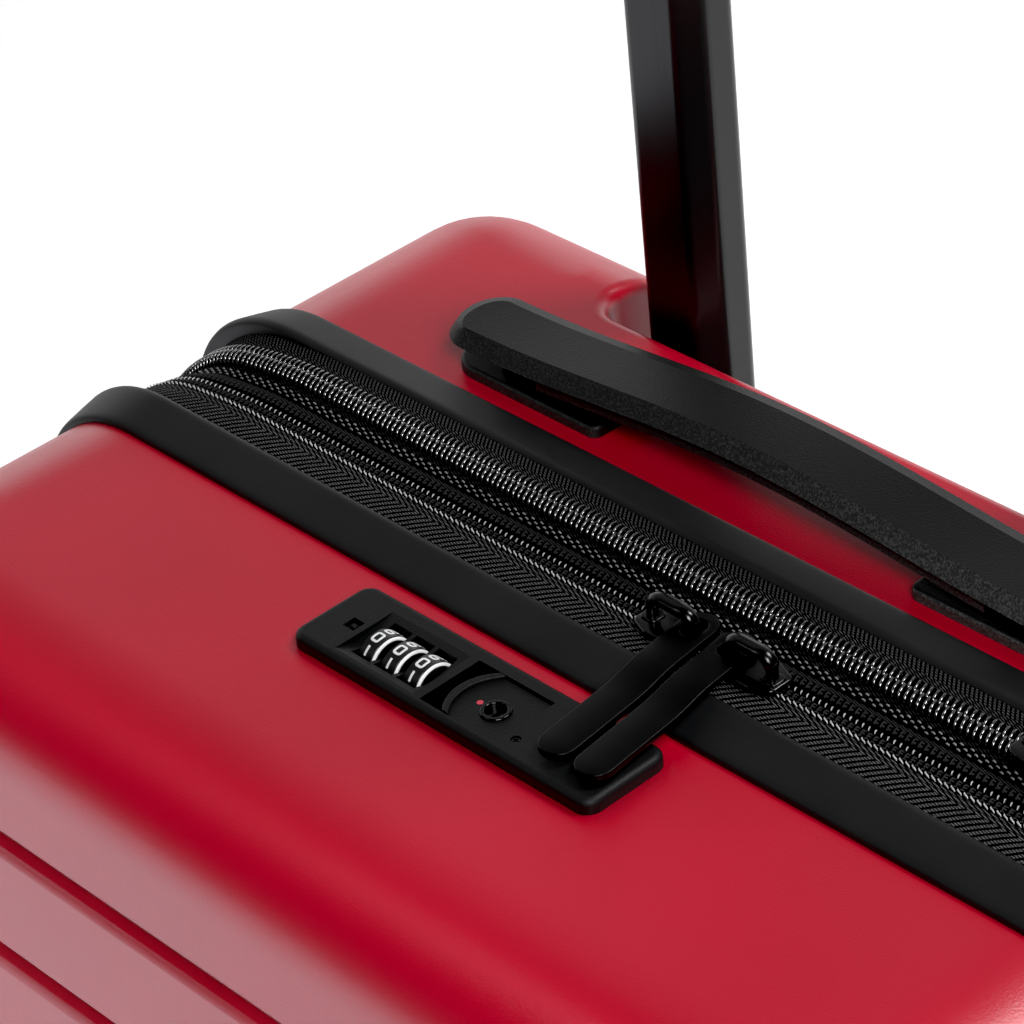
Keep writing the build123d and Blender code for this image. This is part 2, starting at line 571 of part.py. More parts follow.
# crossed packing straps on the floor of the back half, with their clasp
strap_y0, strap_y1 = 73.6, 75.2
arms = []
for sx in (-1, 1):
    for sz in (-1, 1):
        dx, dz = sx * 128.0, sz * 150.0
        n = (dx * dx + dz * dz) ** 0.5
        px, pz = -dz / n * 12.5, dx / n * 12.5
        x0, z0 = dx * 0.05, dz * 0.05
        quad = [(x0 + px, z0 + pz), (dx + px, dz + pz), (dx - px, dz - pz), (x0 - px, z0 - pz)]
        f = Plane.XZ * Polygon(*quad, align=None)
        arms.append(Pos(0, (strap_y0 + strap_y1) / 2, 290.0) * extrude(f, (strap_y1 - strap_y0) / 2, both=True))
clasp = Pos(0, 73.5, 290.0) * extrude(Plane.XZ * RectangleRounded(46.0, 40.0, 8.0), 9.0)
clasp = fillet(clasp.faces().sort_by(Axis.Y)[0].edges(), 2.0)
hub = Pos(0, strap_y1, 290.0) * extrude(Plane.XZ * Rectangle(30.0, 34.0), strap_y1 - strap_y0)
net = hub
for a in arms:
    net = net + a
keep("packing_straps", net)
keep("strap_clasp", clasp)

print(len(NODES), "nodes")
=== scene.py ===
"""Looks of the hard shell cabin suitcase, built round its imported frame.  Lengths in the code are millimetres
unless they end in _m; meshes are metres, in the shared frame."""

import json
import math

import bmesh
import bpy
import numpy as np
from mathutils import Matrix, Vector


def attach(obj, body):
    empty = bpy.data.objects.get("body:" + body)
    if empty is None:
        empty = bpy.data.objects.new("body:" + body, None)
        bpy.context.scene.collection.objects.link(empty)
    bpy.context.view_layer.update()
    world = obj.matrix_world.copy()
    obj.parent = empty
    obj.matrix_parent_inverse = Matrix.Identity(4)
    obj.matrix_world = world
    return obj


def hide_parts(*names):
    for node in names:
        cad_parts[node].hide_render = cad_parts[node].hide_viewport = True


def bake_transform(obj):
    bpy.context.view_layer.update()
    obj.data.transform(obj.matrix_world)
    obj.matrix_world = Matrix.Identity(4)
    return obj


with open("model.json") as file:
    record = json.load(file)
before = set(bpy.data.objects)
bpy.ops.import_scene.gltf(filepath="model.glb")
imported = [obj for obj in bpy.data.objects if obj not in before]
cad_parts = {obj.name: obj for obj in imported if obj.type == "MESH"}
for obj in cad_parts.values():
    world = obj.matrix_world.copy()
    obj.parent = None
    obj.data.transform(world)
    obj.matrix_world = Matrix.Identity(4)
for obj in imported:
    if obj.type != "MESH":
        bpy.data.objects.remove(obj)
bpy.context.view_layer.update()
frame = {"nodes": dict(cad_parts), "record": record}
NODES = frame["nodes"]
MM = 0.001

# ------------------------------------------------------------------ the rim of the case, a rounded rectangle
HW, HH, RC, ZC = 192.0, 242.5, 41.0, 292.5
ZT = ZC + HH
LA, LB = HW - RC, HH - RC
ARC = math.pi / 2 * RC
LENS = [LA, ARC, 2 * LB, ARC, 2 * LA, ARC, 2 * LB, ARC, LA]
EDGE = np.cumsum([0.0] + LENS)
PERIM = float(EDGE[-1])
MIDS = [(EDGE[k] + EDGE[k + 1]) / 2 for k in (1, 3, 5, 7)]


def rim(s):
    """Place, outward direction and corner share at length s round the rim, from the middle of the top to the right."""
    s = np.mod(np.asarray(s, float), PERIM)
    x, z, nx, nz = (np.zeros_like(s) for _ in range(4))
    for k in range(9):
        m = (s >= EDGE[k]) & (s <= EDGE[k + 1])
        t = s[m] - EDGE[k]
        a = t / RC
        if k == 0:
            v = (t, HH + 0 * t, 0 * t, 1 + 0 * t)
        elif k == 1:
            v = (LA + RC * np.sin(a), LB + RC * np.cos(a), np.sin(a), np.cos(a))
        elif k == 2:
            v = (HW + 0 * t, LB - t, 1 + 0 * t, 0 * t)
        elif k == 3:
            v = (LA + RC * np.cos(a), -LB - RC * np.sin(a), np.cos(a), -np.sin(a))
        elif k == 4:
            v = (LA - t, -HH + 0 * t, 0 * t, -1 + 0 * t)
        elif k == 5:
            v = (-LA - RC * np.sin(a), -LB - RC * np.cos(a), -np.sin(a), -np.cos(a))
        elif k == 6:
            v = (-HW + 0 * t, -LB + t, -1 + 0 * t, 0 * t)
        elif k == 7:
            v = (-LA - RC * np.cos(a), LB + RC * np.sin(a), -np.cos(a), np.sin(a))
        else:
            v = (-LA + t, HH + 0 * t, 0 * t, 1 + 0 * t)
        x[m], z[m], nx[m], nz[m] = v
    c = np.zeros_like(s)
    for i, mid in enumerate(MIDS):
        d = np.abs((s - mid + PERIM / 2) % PERIM - PERIM / 2)
        # less of it beside the parked expansion slider
        c += 0.5 * (1 + np.cos(np.pi * np.clip(d / (38.0 if i == 0 else 60.0), 0, 1)))
    return x, z, nx, nz, c


def rim_place(s, y, n):
    x, z, nx, nz, _ = rim(s)
    return np.stack([x + nx * n, np.broadcast_to(y, x.shape), ZC + z + nz * n], -1) * MM


SAG = 3.0


def new_object(name, verts, faces, material, smooth=True, uv=None):
    me = bpy.data.meshes.new(name)
    me.from_pydata([tuple(v) for v in verts], [], faces)
    if uv is not None:
        layer = me.uv_layers.new(name="Strip")
        layer.data.foreach_set("uv", np.asarray(uv, np.float32).ravel())
    bm = bmesh.new()
    bm.from_mesh(me)
    bmesh.ops.recalc_face_normals(bm, faces=bm.faces)
    bm.to_mesh(me)
    bm.free()
    me.polygons.foreach_set("use_smooth", [smooth] * len(me.polygons))
    o = bpy.data.objects.new(name, me)
    bpy.context.scene.collection.objects.link(o)
    if material is not None:
        me.materials.append(material)
    return o


def ring(name, prof, material, s0=None, s1=None, step=3.0, sharp=None):
    """Sweeps a closed profile round the rim.  prof: list of (y, n, sag share).  With s0, s1 only that stretch, closed at both ends."""
    whole = s0 is None
    if whole:
        m = int(round(PERIM / step))
        ss = np.arange(m) * PERIM / m
    else:
        m = max(2, int(round((s1 - s0) / step)) + 1)
        ss = np.linspace(s0, s1, m)
    p = np.asarray(prof, float)
    k = len(p)
    x, z, nx, nz, c = rim(ss)
    n = p[None, :, 1] - SAG * c[:, None] * p[None, :, 2]
    vx = x[:, None] + nx[:, None] * n
    vz = ZC + z[:, None] + nz[:, None] * n
    vy = np.broadcast_to(p[None, :, 0], vx.shape)
    verts = np.stack([vx, vy, vz], -1).reshape(-1, 3) * MM
    faces, uv = [], []
    across = np.concatenate([[0], np.cumsum(np.hypot(np.diff(p[:, 0]), np.diff(p[:, 1])))])
    for i in range(m if whole else m - 1):
        j = (i + 1) % m
        sa = ss[i]
        sb = ss[i] + (PERIM / m if whole else ss[1] - ss[0])
        for q in range(k):
            r = (q + 1) % k
            faces.append((i * k + q, i * k + r, j * k + r, j * k + q))
            uv += [(sa, p[q, 0]), (sa, p[r, 0]), (sb, p[r, 0]), (sb, p[q, 0])]
    if not whole:
        faces.append(tuple(range(k)))
        uv += [(ss[0], v[0]) for v in p]
        last = (m - 1) * k
        faces.append(tuple(last + q for q in range(k)))
        uv += [(ss[-1], v[0]) for v in p]
    o = new_object(name, verts, faces, material, uv=uv)
    if sharp:
        by_angle(o, sharp)
    return o


def by_angle(o, degrees):
    """Smooth shading that stays sharp at edges steeper than this."""
    me = o.data
    bm = bmesh.new()
    bm.from_mesh(me)
    lim = math.radians(degrees)
    for e in bm.edges:
        e.smooth = len(e.link_faces) == 2 and e.calc_face_angle(0.0) < lim
    for f in bm.faces:
        f.smooth = True
    bm.to_mesh(me)
    bm.free()


def tubes(name, path, rad, at, material, sides=6, sag=1.0):
    """The same short tube at each length in at.  path: rows of (along, y, n), rad: one radius per row."""
    p = np.asarray(path, float)
    r = np.broadcast_to(np.asarray(rad, float), (len(p),))
    t = np.gradient(p, axis=0)
    t /= np.linalg.norm(t, axis=1)[:, None]
    ref = np.array([1.0, 0.0, 0.0]) if np.abs(t[:, 0]).max() < 0.9 else np.array([0.0, 0.0, 1.0])
    u = np.cross(t, ref)
    u /= np.linalg.norm(u, axis=1)[:, None]
    v = np.cross(t, u)
    ang = np.arange(sides) * 2 * np.pi / sides
    loc = p[:, None, :] + r[:, None, None] * (u[:, None, :] * np.cos(ang)[None, :, None] + v[:, None, :] * np.sin(ang)[None, :, None])
    loc = loc.reshape(-1, 3)
    at = np.asarray(at, float)
    s = (at[:, None] + loc[None, :, 0]).ravel()
    y = np.tile(loc[:, 1], len(at))
    n = np.tile(loc[:, 2], len(at))
    x, z, nx, nz, c = rim(s)
    n = n - SAG * c * sag
    verts = np.stack([x + nx * n, y, ZC + z + nz * n], -1) * MM
    j = len(p)
    one = []
    for a in range(j - 1):
        for b in range(sides):
            d = (b + 1) % sides
            one.append((a * sides + b, a * sides + d, (a + 1) * sides + d, (a + 1) * sides + b))
    caps = [tuple(range(sides)), tuple((j - 1) * sides + q for q in range(sides))]
    faces = []
    size = j * sides
    for i in range(len(at)):
        o = i * size
        faces += [tuple(o + q for q in f) for f in one]
        faces += [tuple(o + q for q in f) for f in caps]
    return new_object(name, verts, faces, material)


# ------------------------------------------------------------------ materials
class Mat:
    """A node material with a principled shader, made step by step."""

    def __init__(self, name, base=(0.5, 0.5, 0.5), rough=0.5, metal=0.0, spec=0.5, coat=0.0, coat_rough=0.1, sheen=0.0):
        self.m = bpy.data.materials.new(name)
        self.m.use_nodes = True
        self.t = self.m.node_tree
        self.b = next(n for n in self.t.nodes if n.type == "BSDF_PRINCIPLED")
        self.set("Base Color", (*base, 1.0))
        self.set("Roughness", rough)
        self.set("Metallic", metal)
        self.set("Specular IOR Level", spec)
        self.set("Coat Weight", coat)
        self.set("Coat Roughness", coat_rough)
        self.set("Sheen Weight", sheen)
        self.normal = None

    def set(self, key, value):
        self.b.inputs[key].default_value = value

    def node(self, kind, **props):
        n = self.t.nodes.new(kind)
        for k, v in props.items():
            setattr(n, k, v)
        return n

    def put(self, sock, value):
        if isinstance(value, bpy.types.NodeSocket):
            self.t.links.new(value, sock)
        else:
            sock.default_value = value

    def place(self):
        return self.node("ShaderNodeTexCoord").outputs["Object"]

    def strip(self):
        """Length along the rim and place across it, in millimetres."""
        n = self.node("ShaderNodeUVMap", uv_map="Strip")
        x = self.node("ShaderNodeSeparateXYZ")
        self.put(x.inputs[0], n.outputs[0])
        return x.outputs[0], x.outputs[1]

    def math(self, op, *args, clamp=False):
        n = self.node("ShaderNodeMath", operation=op, use_clamp=clamp)
        for i, a in enumerate(args):
            self.put(n.inputs[i], a)
        return n.outputs[0]

    def noise(self, scale, detail=2.0, rough=0.5, vector=None, stretch=None):
        v = vector if vector is not None else self.place()
        if stretch:
            mp = self.node("ShaderNodeMapping")
            mp.inputs["Scale"].default_value = stretch
            self.put(mp.inputs["Vector"], v)
            v = mp.outputs[0]
        n = self.node("ShaderNodeTexNoise")
        n.inputs["Scale"].default_value = scale
        n.inputs["Detail"].default_value = detail
        n.inputs["Roughness"].default_value = rough
        self.put(n.inputs["Vector"], v)
        return n.outputs["Fac"]

    def cells(self, scale, vector=None):
        v = vector if vector is not None else self.place()
        n = self.node("ShaderNodeTexVoronoi", feature="SMOOTH_F1")
        n.inputs["Scale"].default_value = scale
        n.inputs["Smoothness"].default_value = 0.6
        self.put(n.inputs["Vector"], v)
        return n.outputs["Distance"]

    def band(self, value, low, high, to_low=0.0, to_high=1.0):
        n = self.node("ShaderNodeMapRange", interpolation_type="SMOOTHSTEP")
        for i, a in enumerate((value, low, high, to_low, to_high)):
            self.put(n.inputs[i], a)
        return n.outputs[0]

    def mix(self, fac, a, b):
        n = self.node("ShaderNodeMix", data_type="RGBA")
        self.put(n.inputs["Factor"], fac)
        for key, c in (("A", a), ("B", b)):
            sock = [i for i in n.inputs if i.name == key and i.type == "RGBA"][0]
            self.put(sock, c if isinstance(c, bpy.types.NodeSocket) else (*c, 1.0))
        return [o for o in n.outputs if o.type == "RGBA"][0]

    def colour(self, sock):
        self.put(self.b.inputs["Base Color"], sock)
        return self

    def rough(self, sock):
        self.put(self.b.inputs["Roughness"], sock)
        return self

    def bump(self, height, strength, distance_m):
        n = self.node("ShaderNodeBump")
        n.inputs["Strength"].default_value = strength
        n.inputs["Distance"].default_value = distance_m
        self.put(n.inputs["Height"], height)
        if self.normal is not None:
            self.put(n.inputs["Normal"], self.normal)
        self.normal = n.outputs[0]
        self.put(self.b.inputs["Normal"], self.normal)
        return self


def shell_material():
    m = Mat("shell_red", rough=0.3, spec=0.7, coat=0.0)
    big = m.noise(14.0, 3.0)
    fine = m.noise(1500.0, 3.0, 0.6)
    tone = m.mix(m.band(big, 0.35, 0.65), (0.430, 0.0012, 0.0185), (0.465, 0.0016, 0.0210))
    tone = m.mix(m.math("MULTIPLY", m.band(fine, 0.45, 0.75), 0.10), tone, (0.50, 0.004, 0.026))
    # painted light: the red is painted brighter in a band just below the top, over the rounding
    high = m.node("ShaderNodeSeparateXYZ")
    m.put(high.inputs[0], m.place())
    painted_rounding_light = m.math("MULTIPLY", m.band(high.outputs[2], 0.503, 0.522), m.band(high.outputs[2], 0.5290, 0.5350, 1.0, 0.0))
    tone = m.mix(painted_rounding_light, tone, (0.610, 0.0012, 0.0275))
    # painted shade: the red is darkened in the notch of the telescopic handle, which is also made rougher
    notch_shade_and_rough = m.math("MULTIPLY", m.band(high.outputs[1], 0.0850, 0.0868), m.band(high.outputs[2], 0.5300, 0.5336, 1.0, 0.0))
    notch_shade_and_rough = m.math("MULTIPLY", notch_shade_and_rough, m.band(m.math("ABSOLUTE", high.outputs[0]), 0.1015, 0.1035, 1.0, 0.0))
    notch_shade_and_rough = m.math("MULTIPLY", notch_shade_and_rough, m.band(high.outputs[2], 0.4840, 0.4895))
    tone = m.mix(notch_shade_and_rough, tone, (0.22, 0.0010, 0.0105))
    m.colour(tone)
    m.rough(m.math("MULTIPLY_ADD", notch_shade_and_rough, 0.16, m.math("ADD", m.math("MULTIPLY", fine, 0.06), m.math("MULTIPLY_ADD", big, 0.04, 0.26))))
    # the moulding runs softly from its flat top into the rounding
    axes = m.node("ShaderNodeSeparateXYZ")
    m.put(axes.inputs[0], m.place())
    soft = m.node("ShaderNodeBevel", samples=3)
    away = m.math("MAXIMUM", m.band(axes.outputs[1], 0.050, 0.072, 1.0, 0.0), m.band(m.math("ABSOLUTE", axes.outputs[0]), 0.108, 0.122))
    reach = m.math("MULTIPLY", m.band(axes.outputs[2], 0.490, 0.504), away)
    m.put(soft.inputs["Radius"], m.math("MULTIPLY_ADD", reach, 0.0090, 0.0005))
    m.normal = soft.outputs[0]
    m.bump(m.cells(1700.0), 0.15, 0.00020)
    m.bump(m.noise(3000.0, 2.0, 0.6), 0.12, 0.00012)
    return m.m


def bead_material():
    m = Mat("bead_black", rough=0.5, spec=0.30)
    big = m.noise(30.0, 4.0, 0.6)
    fine = m.noise(900.0, 2.0)
    m.colour(m.mix(m.band(big, 0.3, 0.7), (0.0050, 0.0052, 0.0056), (0.0078, 0.0080, 0.0085)))
    m.rough(m.math("MULTIPLY_ADD", big, 0.16, 0.42))
    m.bump(m.noise(260.0, 3.0, 0.6), 0.10, 0.0003)
    m.bump(fine, 0.08, 0.0002)
    return m.m


def weave(m, s, y, centre, pitch, lean_out, lean_in, wide=0.27, grain=0.64):
    """Twill lines that change direction at y = centre: 0..1 over the yarn floats, with their rice-grain shape, which
    the tapes use for their painted highlight and bump.
    """
    off = m.math("SUBTRACT", y, centre)
    run = m.math("ADD", m.math("MULTIPLY", m.math("MAXIMUM", off, 0.0), lean_in), m.math("MULTIPLY", m.math("MINIMUM", off, 0.0), lean_out))
    phase = m.math("DIVIDE", m.math("ADD", s, run), pitch)
    line = m.math("ABSOLUTE", m.math("SUBTRACT", m.math("FRACT", phase), 0.5))
    line = m.band(line, wide - 0.07, wide + 0.07, 1.0, 0.0)
    g = m.math("FRACT", m.math("DIVIDE", m.math("ADD", y, m.math("MULTIPLY", s, 0.22)), grain))
    g = m.band(m.math("ABSOLUTE", m.math("SUBTRACT", g, 0.5)), 0.17, 0.38, 1.0, 0.0)
    return m.math("MULTIPLY", line, m.math("MULTIPLY_ADD", g, 0.92, 0.08))


def between(m, y, y0, y1, soft=0.14):
    return m.math("MULTIPLY", m.band(y, y0 - soft, y0 + soft), m.band(y, y1 - soft, y1 + soft, 1.0, 0.0))


def knit(m, s, y, y0, y1, pitch, rows, slant):
    """Sewn loops over the coil: in each pitch a leaning spine with short arms."""
    ph = m.math("FRACT", m.math("DIVIDE", m.math("ADD", s, m.math("MULTIPLY", y, slant)), pitch))
    spine = m.band(m.math("ABSOLUTE", m.math("SUBTRACT", ph, 0.30)), 0.07, 0.17, 1.0, 0.0)
    arm = m.math("FRACT", m.math("DIVIDE", m.math("SUBTRACT", y, y0), (y1 - y0) / rows))
    arm = m.band(m.math("ABSOLUTE", m.math("SUBTRACT", arm, 0.5)), 0.16, 0.34, 1.0, 0.0)
    arm = m.math("MULTIPLY", arm, m.band(m.math("ABSOLUTE", m.math("SUBTRACT", ph, 0.52)), 0.24, 0.34, 1.0, 0.0))
    return m.math("MULTIPLY", m.math("MAXIMUM", spine, arm), between(m, y, y0, y1))


def tape_material(name, bright, pattern):
    """Woven zip tape: nearly black ground; its floats carry a painted highlight as a light grey colour, with the
    specular kept low.
    """
    m = Mat(name, rough=0.7, spec=0.03, sheen=0.0)
    s, y = m.strip()
    w = pattern(m, s, y)
    fleck = m.noise(2600.0, 2.0, 0.7)
    # painted highlight: the floats are coloured grey, flecked, standing in for the shine of the threads
    lit = m.math("MULTIPLY", w, m.math("MULTIPLY_ADD", m.band(fleck, 0.30, 0.70), 0.75, 0.45))
    m.colour(m.mix(lit, (0.0010, 0.0010, 0.0011), (bright, bright, bright * 1.02)))
    m.rough(m.math("MULTIPLY_ADD", fleck, 0.25, 0.55))
    m.bump(w, 0.8, 0.00022)
    m.bump(fleck, 0.25, 0.00006)
    return m.m


def front_pattern(m, s, y):
    w = m.math("MULTIPLY", weave(m, s, y, -14.2, 2.44, -0.95, 2.2), between(m, y, -30.0, -11.55))
    return m.math("ADD", w, m.math("MULTIPLY", knit(m, s, y, -10.15, -7.6, 1.90, 3, 0.16), 0.42))


def middle_pattern(m, s, y):
    w = m.math("MULTIPLY", knit(m, s, y, -10.15, -7.6, 1.90, 3, 0.16), 0.42)
    w = m.math("ADD", w, m.math("MULTIPLY", knit(m, s, y, -4.75, -2.35, 1.90, 2, 0.30), 0.34))
    twill = m.math("FRACT", m.math("DIVIDE", m.math("ADD", y, m.math("MULTIPLY", s, 0.36)), 0.86))
    twill = m.band(m.math("ABSOLUTE", m.math("SUBTRACT", twill, 0.5)), 0.12, 0.26, 0.50, 0.0)
    return m.math("ADD", w, m.math("MULTIPLY", twill, between(m, y, -2.2, -0.2)))


def expander_pattern(m, s, y):
    back = m.math("MULTIPLY", weave(m, s, y, 16.9, 1.35, 2.0, 0.75, 0.26), between(m, y, 13.6, 30.0))
    low = m.math("MULTIPLY", weave(m, s, y, 4.0, 1.60, 2.0, 2.0, 0.24), between(m, y, 3.6, 5.6))
    return m.math("ADD", m.math("MULTIPLY", back, 0.75), m.math("MULTIPLY", low, 0.35))


def plastic(name, base, rough, grain_scale=1500.0, grain=0.18, spec=0.45, vary=0.35, painted_flank_light=0.0):
    """Moulded plastic with a spark-eroded grain."""
    m = Mat(name, rough=rough, spec=spec)
    fine = m.noise(grain_scale, 2.0, 0.6)
    big = m.noise(35.0, 3.0)
    dark = tuple(c * (1 - vary) for c in base)
    light = tuple(c * (1 + vary) for c in base)
    tone = m.mix(m.math("ADD", m.math("MULTIPLY", fine, 0.6), m.math("MULTIPLY", big, 0.4)), dark, light)
    if painted_flank_light:
        # painted light: faces turned to the front are painted paler, in specks and more strongly towards +x, in place
        # of the light they catch
        face = m.node("ShaderNodeSeparateXYZ")
        m.put(face.inputs[0], m.node("ShaderNodeNewGeometry").outputs["True Normal"])
        along = m.node("ShaderNodeSeparateXYZ")
        m.put(along.inputs[0], m.place())
        turned = m.math("MULTIPLY", m.band(face.outputs[1], -0.80, -0.55, 1.0, 0.0), m.band(along.outputs[0], -0.06, 0.10, 0.35, 1.0))
        specks = m.band(m.noise(1500.0, 2.0, 0.7), 0.42, 0.66)
        tone = m.mix(m.math("MULTIPLY", turned, m.math("MULTIPLY_ADD", specks, 0.75, 0.25)), tone, (painted_flank_light, painted_flank_light, painted_flank_light))
    m.colour(tone)
    m.rough(m.math("ADD", m.math("MULTIPLY_ADD", fine, 0.14, rough - 0.10), m.math("MULTIPLY", big, 0.06)))
    m.bump(m.cells(grain_scale * 0.6), grain, 0.00025)
    m.bump(fine, grain * 0.6, 0.00012)
    return m.m


def gloss(name, base, rough, spec=0.5, coat=0.0, metal=0.0, ior=1.5):
    m = Mat(name, rough=rough, spec=spec, coat=coat, metal=metal)
    m.set("IOR", ior)
    big = m.noise(220.0, 3.0)
    smear = m.noise(60.0, 3.0, 0.6, stretch=(1.0, 6.0, 1.0))
    m.colour(m.mix(big, tuple(c * 0.75 for c in base), tuple(c * 1.25 for c in base)))
    m.rough(m.math("MULTIPLY_ADD", smear, 0.14, rough - 0.05))
    m.bump(m.noise(500.0, 2.0), 0.05, 0.0002)
    return m.m


def tube_material():
    m = Mat("tube_black", rough=0.3, spec=0.32, metal=0.0)
    draw = m.noise(420.0, 2.0, 0.6, stretch=(1.0, 1.0, 0.03))
    big = m.noise(18.0, 3.0)
    m.colour(m.mix(m.math("MULTIPLY_ADD", big, 0.5, m.math("MULTIPLY", draw, 0.4)), (0.0065, 0.0065, 0.0068), (0.0110, 0.0110, 0.0114)))
    m.rough(m.math("MULTIPLY_ADD", draw, 0.10, 0.20))
    m.bump(draw, 0.05, 0.0002)
    m.bump(m.noise(2200.0, 2.0), 0.05, 0.0001)
    return m.m


def steel_material():
    m = Mat("steel", rough=0.3, metal=1.0)
    brush = m.noise(900.0, 2.0, 0.6, stretch=(1.0, 1.0, 0.08))
    m.colour(m.mix(brush, (0.46, 0.46, 0.47), (0.62, 0.62, 0.63)))
    m.rough(m.math("MULTIPLY_ADD", brush, 0.2, 0.2))
    m.bump(brush, 0.06, 0.0001)
    return m.m


def cloth_material(name, base, thread=0.0008, shine=0.1):
    """Plain woven lining cloth."""
    m = Mat(name, rough=0.75, spec=0.3, sheen=0.3)
    x = m.node("ShaderNodeSeparateXYZ")
    m.put(x.inputs[0], m.place())
    waves = []
    for k in range(3):
        waves.append(m.math("SINE", m.math("MULTIPLY", x.outputs[k], 2 * math.pi / thread)))
    w = m.math("MULTIPLY", m.math("ADD", waves[0], waves[1]), m.math("ADD", waves[2], 0.2))
    big = m.noise(24.0, 3.0)
    fleck = m.noise(1500.0, 2.0)
    lit = m.math("ADD", m.math("MULTIPLY", big, 0.5), m.math("MULTIPLY", fleck, 0.5))
    m.colour(m.mix(lit, tuple(c * 0.6 for c in base), tuple(c * 1.5 for c in base)))
    m.rough(m.math("MULTIPLY_ADD", fleck, 0.2, 0.62))
    m.bump(w, 0.25, 0.0001)
    m.bump(m.noise(40.0, 3.0), 0.35, 0.0012)
    return m.m


M_SHELL = shell_material()
M_BEAD = bead_material()
# tape greys: the painted highlight of the yarn floats
M_TAPE_F = tape_material("tape_front", 0.115, front_pattern)
M_TAPE_B = tape_material("tape_middle", 0.085, middle_pattern)
M_TAPE_X = tape_material("tape_expander", 0.095, expander_pattern)
M_COIL = gloss("coil_nylon", (0.0022, 0.0022, 0.0023), 0.17, spec=1.0, ior=2.1)
M_THREAD = gloss("thread", (0.50, 0.50, 0.505), 0.30, spec=0.6)
M_DOT = gloss("seam_thread", (0.20, 0.20, 0.205), 0.45, spec=0.5)
M_SLIDER = gloss("slider_black", (0.0030, 0.0030, 0.0032), 0.18, spec=0.40, coat=0.0)
M_PULL = gloss("pull_black", (0.0016, 0.0016, 0.0017), 0.34, spec=0.14)
M_LOCK = plastic("lock_plastic", (0.0050, 0.0052, 0.0055), 0.50, 3400.0, 0.20, spec=0.24)
M_DIAL = gloss("dial_black", (0.006, 0.006, 0.0065), 0.30)
M_WHITE = gloss("dial_white", (0.82, 0.82, 0.82), 0.40)
M_REDDOT = gloss("red_dot", (0.55, 0.045, 0.07), 0.45)
# handle plastic: its front faces carry painted light
M_HANDLE = plastic("handle_plastic", (0.0068, 0.0070, 0.0073), 0.46, 3200.0, 0.24, spec=0.235, painted_flank_light=0.085)
M_TUBE = tube_material()
M_STEEL = steel_material()
M_WHEEL = plastic("wheel_plastic", (0.012, 0.012, 0.013), 0.5, 900.0, 0.15)
M_TREAD = plastic("wheel_tread", (0.010, 0.010, 0.011), 0.7, 700.0, 0.25, spec=0.3)
M_LINING = cloth_material("lining", (0.050, 0.051, 0.055), 0.0009)
M_WEB = cloth_material("webbing", (0.016, 0.016, 0.018), 0.0016)

BY_SLOT = {
    "red_shell": M_SHELL, "rim_bead": M_BEAD, "zip_cloth": M_TAPE_F, "lining_cloth": M_LINING, "strap_web": M_WEB,
    "slider_metal": M_SLIDER, "pull_metal": M_PULL, "lock_plastic": M_LOCK, "dial_plastic": M_DIAL, "steel": M_STEEL,
    "handle_plastic": M_HANDLE, "tube_metal": M_TUBE, "wheel_plastic": M_WHEEL, "wheel_tread": M_TREAD,
}
for part in frame["record"]["subparts"]:
    o = NODES[part["node"]]
    o.data.materials.clear()
    o.data.materials.append(BY_SLOT[part["material_slot"]])


def soften(node, angle=None):
    """One smooth skin over the faces of a carried-over solid."""
    o = NODES[node]
    w = o.modifiers.new("weld", "WELD")
    w.merge_threshold = 0.00002
    n = o.modifiers.new("normals", "WEIGHTED_NORMAL")
    n.mode = "FACE_AREA"
    n.weight = 90
    n.keep_sharp = True
    return o


for name in ("front_shell", "back_shell"):
    soften(name)


# ------------------------------------------------------------------ rim beads
def bead_profile(sign):
    pts = [
        (34.50, 0.06), (34.52, 0.60), (34.46, 1.10), (34.22, 1.60), (33.80, 2.00), (33.20, 2.28), (32.20, 2.55), (30.00, 3.05),
        (27.50, 3.62), (25.00, 4.15), (23.40, 4.50), (22.50, 4.66), (21.70, 4.66), (21.00, 4.46), (20.52, 4.08), (20.26, 3.55), (20.20, 3.00),
        (20.20, -3.2), (20.6, -4.0), (31.1, -4.0), (31.5, -3.6), (31.5, -2.46), (27.94, -2.46), (27.94, 0.06),
    ]
    return [(sign * y, n, 0.0) for y, n in pts]


for sign, body, node in ((-1, "front_half", "front_rim_trim"), (1, "back_half", "back_rim_trim")):
    o = ring(node + "_bead", bead_profile(sign), M_BEAD, sharp=50)
    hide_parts(node)
    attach(o, body)

# ------------------------------------------------------------------ zip tapes
HINGE0, HINGE1 = 128.0, 457.0   # heights between which the cloth hinge takes the place of the main zip on the right
S_H0 = EDGE[2] + (ZC + LB - HINGE1)
S_H1 = EDGE[2] + (ZC + LB - HINGE0)


def sag_share(y):
    """How far the cloth sinks round the corners: little next to the front bead, most round the large coil."""
    return float(np.interp(y, [-21.0, -12.0, -4.0, 2.0, 15.0, 18.0, 21.0], [1.0, 1.5, 2.0, 2.3, 2.2, 1.6, 1.2]))


def strip_profile(top, thick=0.8):
    """Closed strip under a top line of (y, n)."""
    low = [(y, n - thick) for y, n in reversed(top)]
    return [(y, n, sag_share(y)) for y, n in top + low]


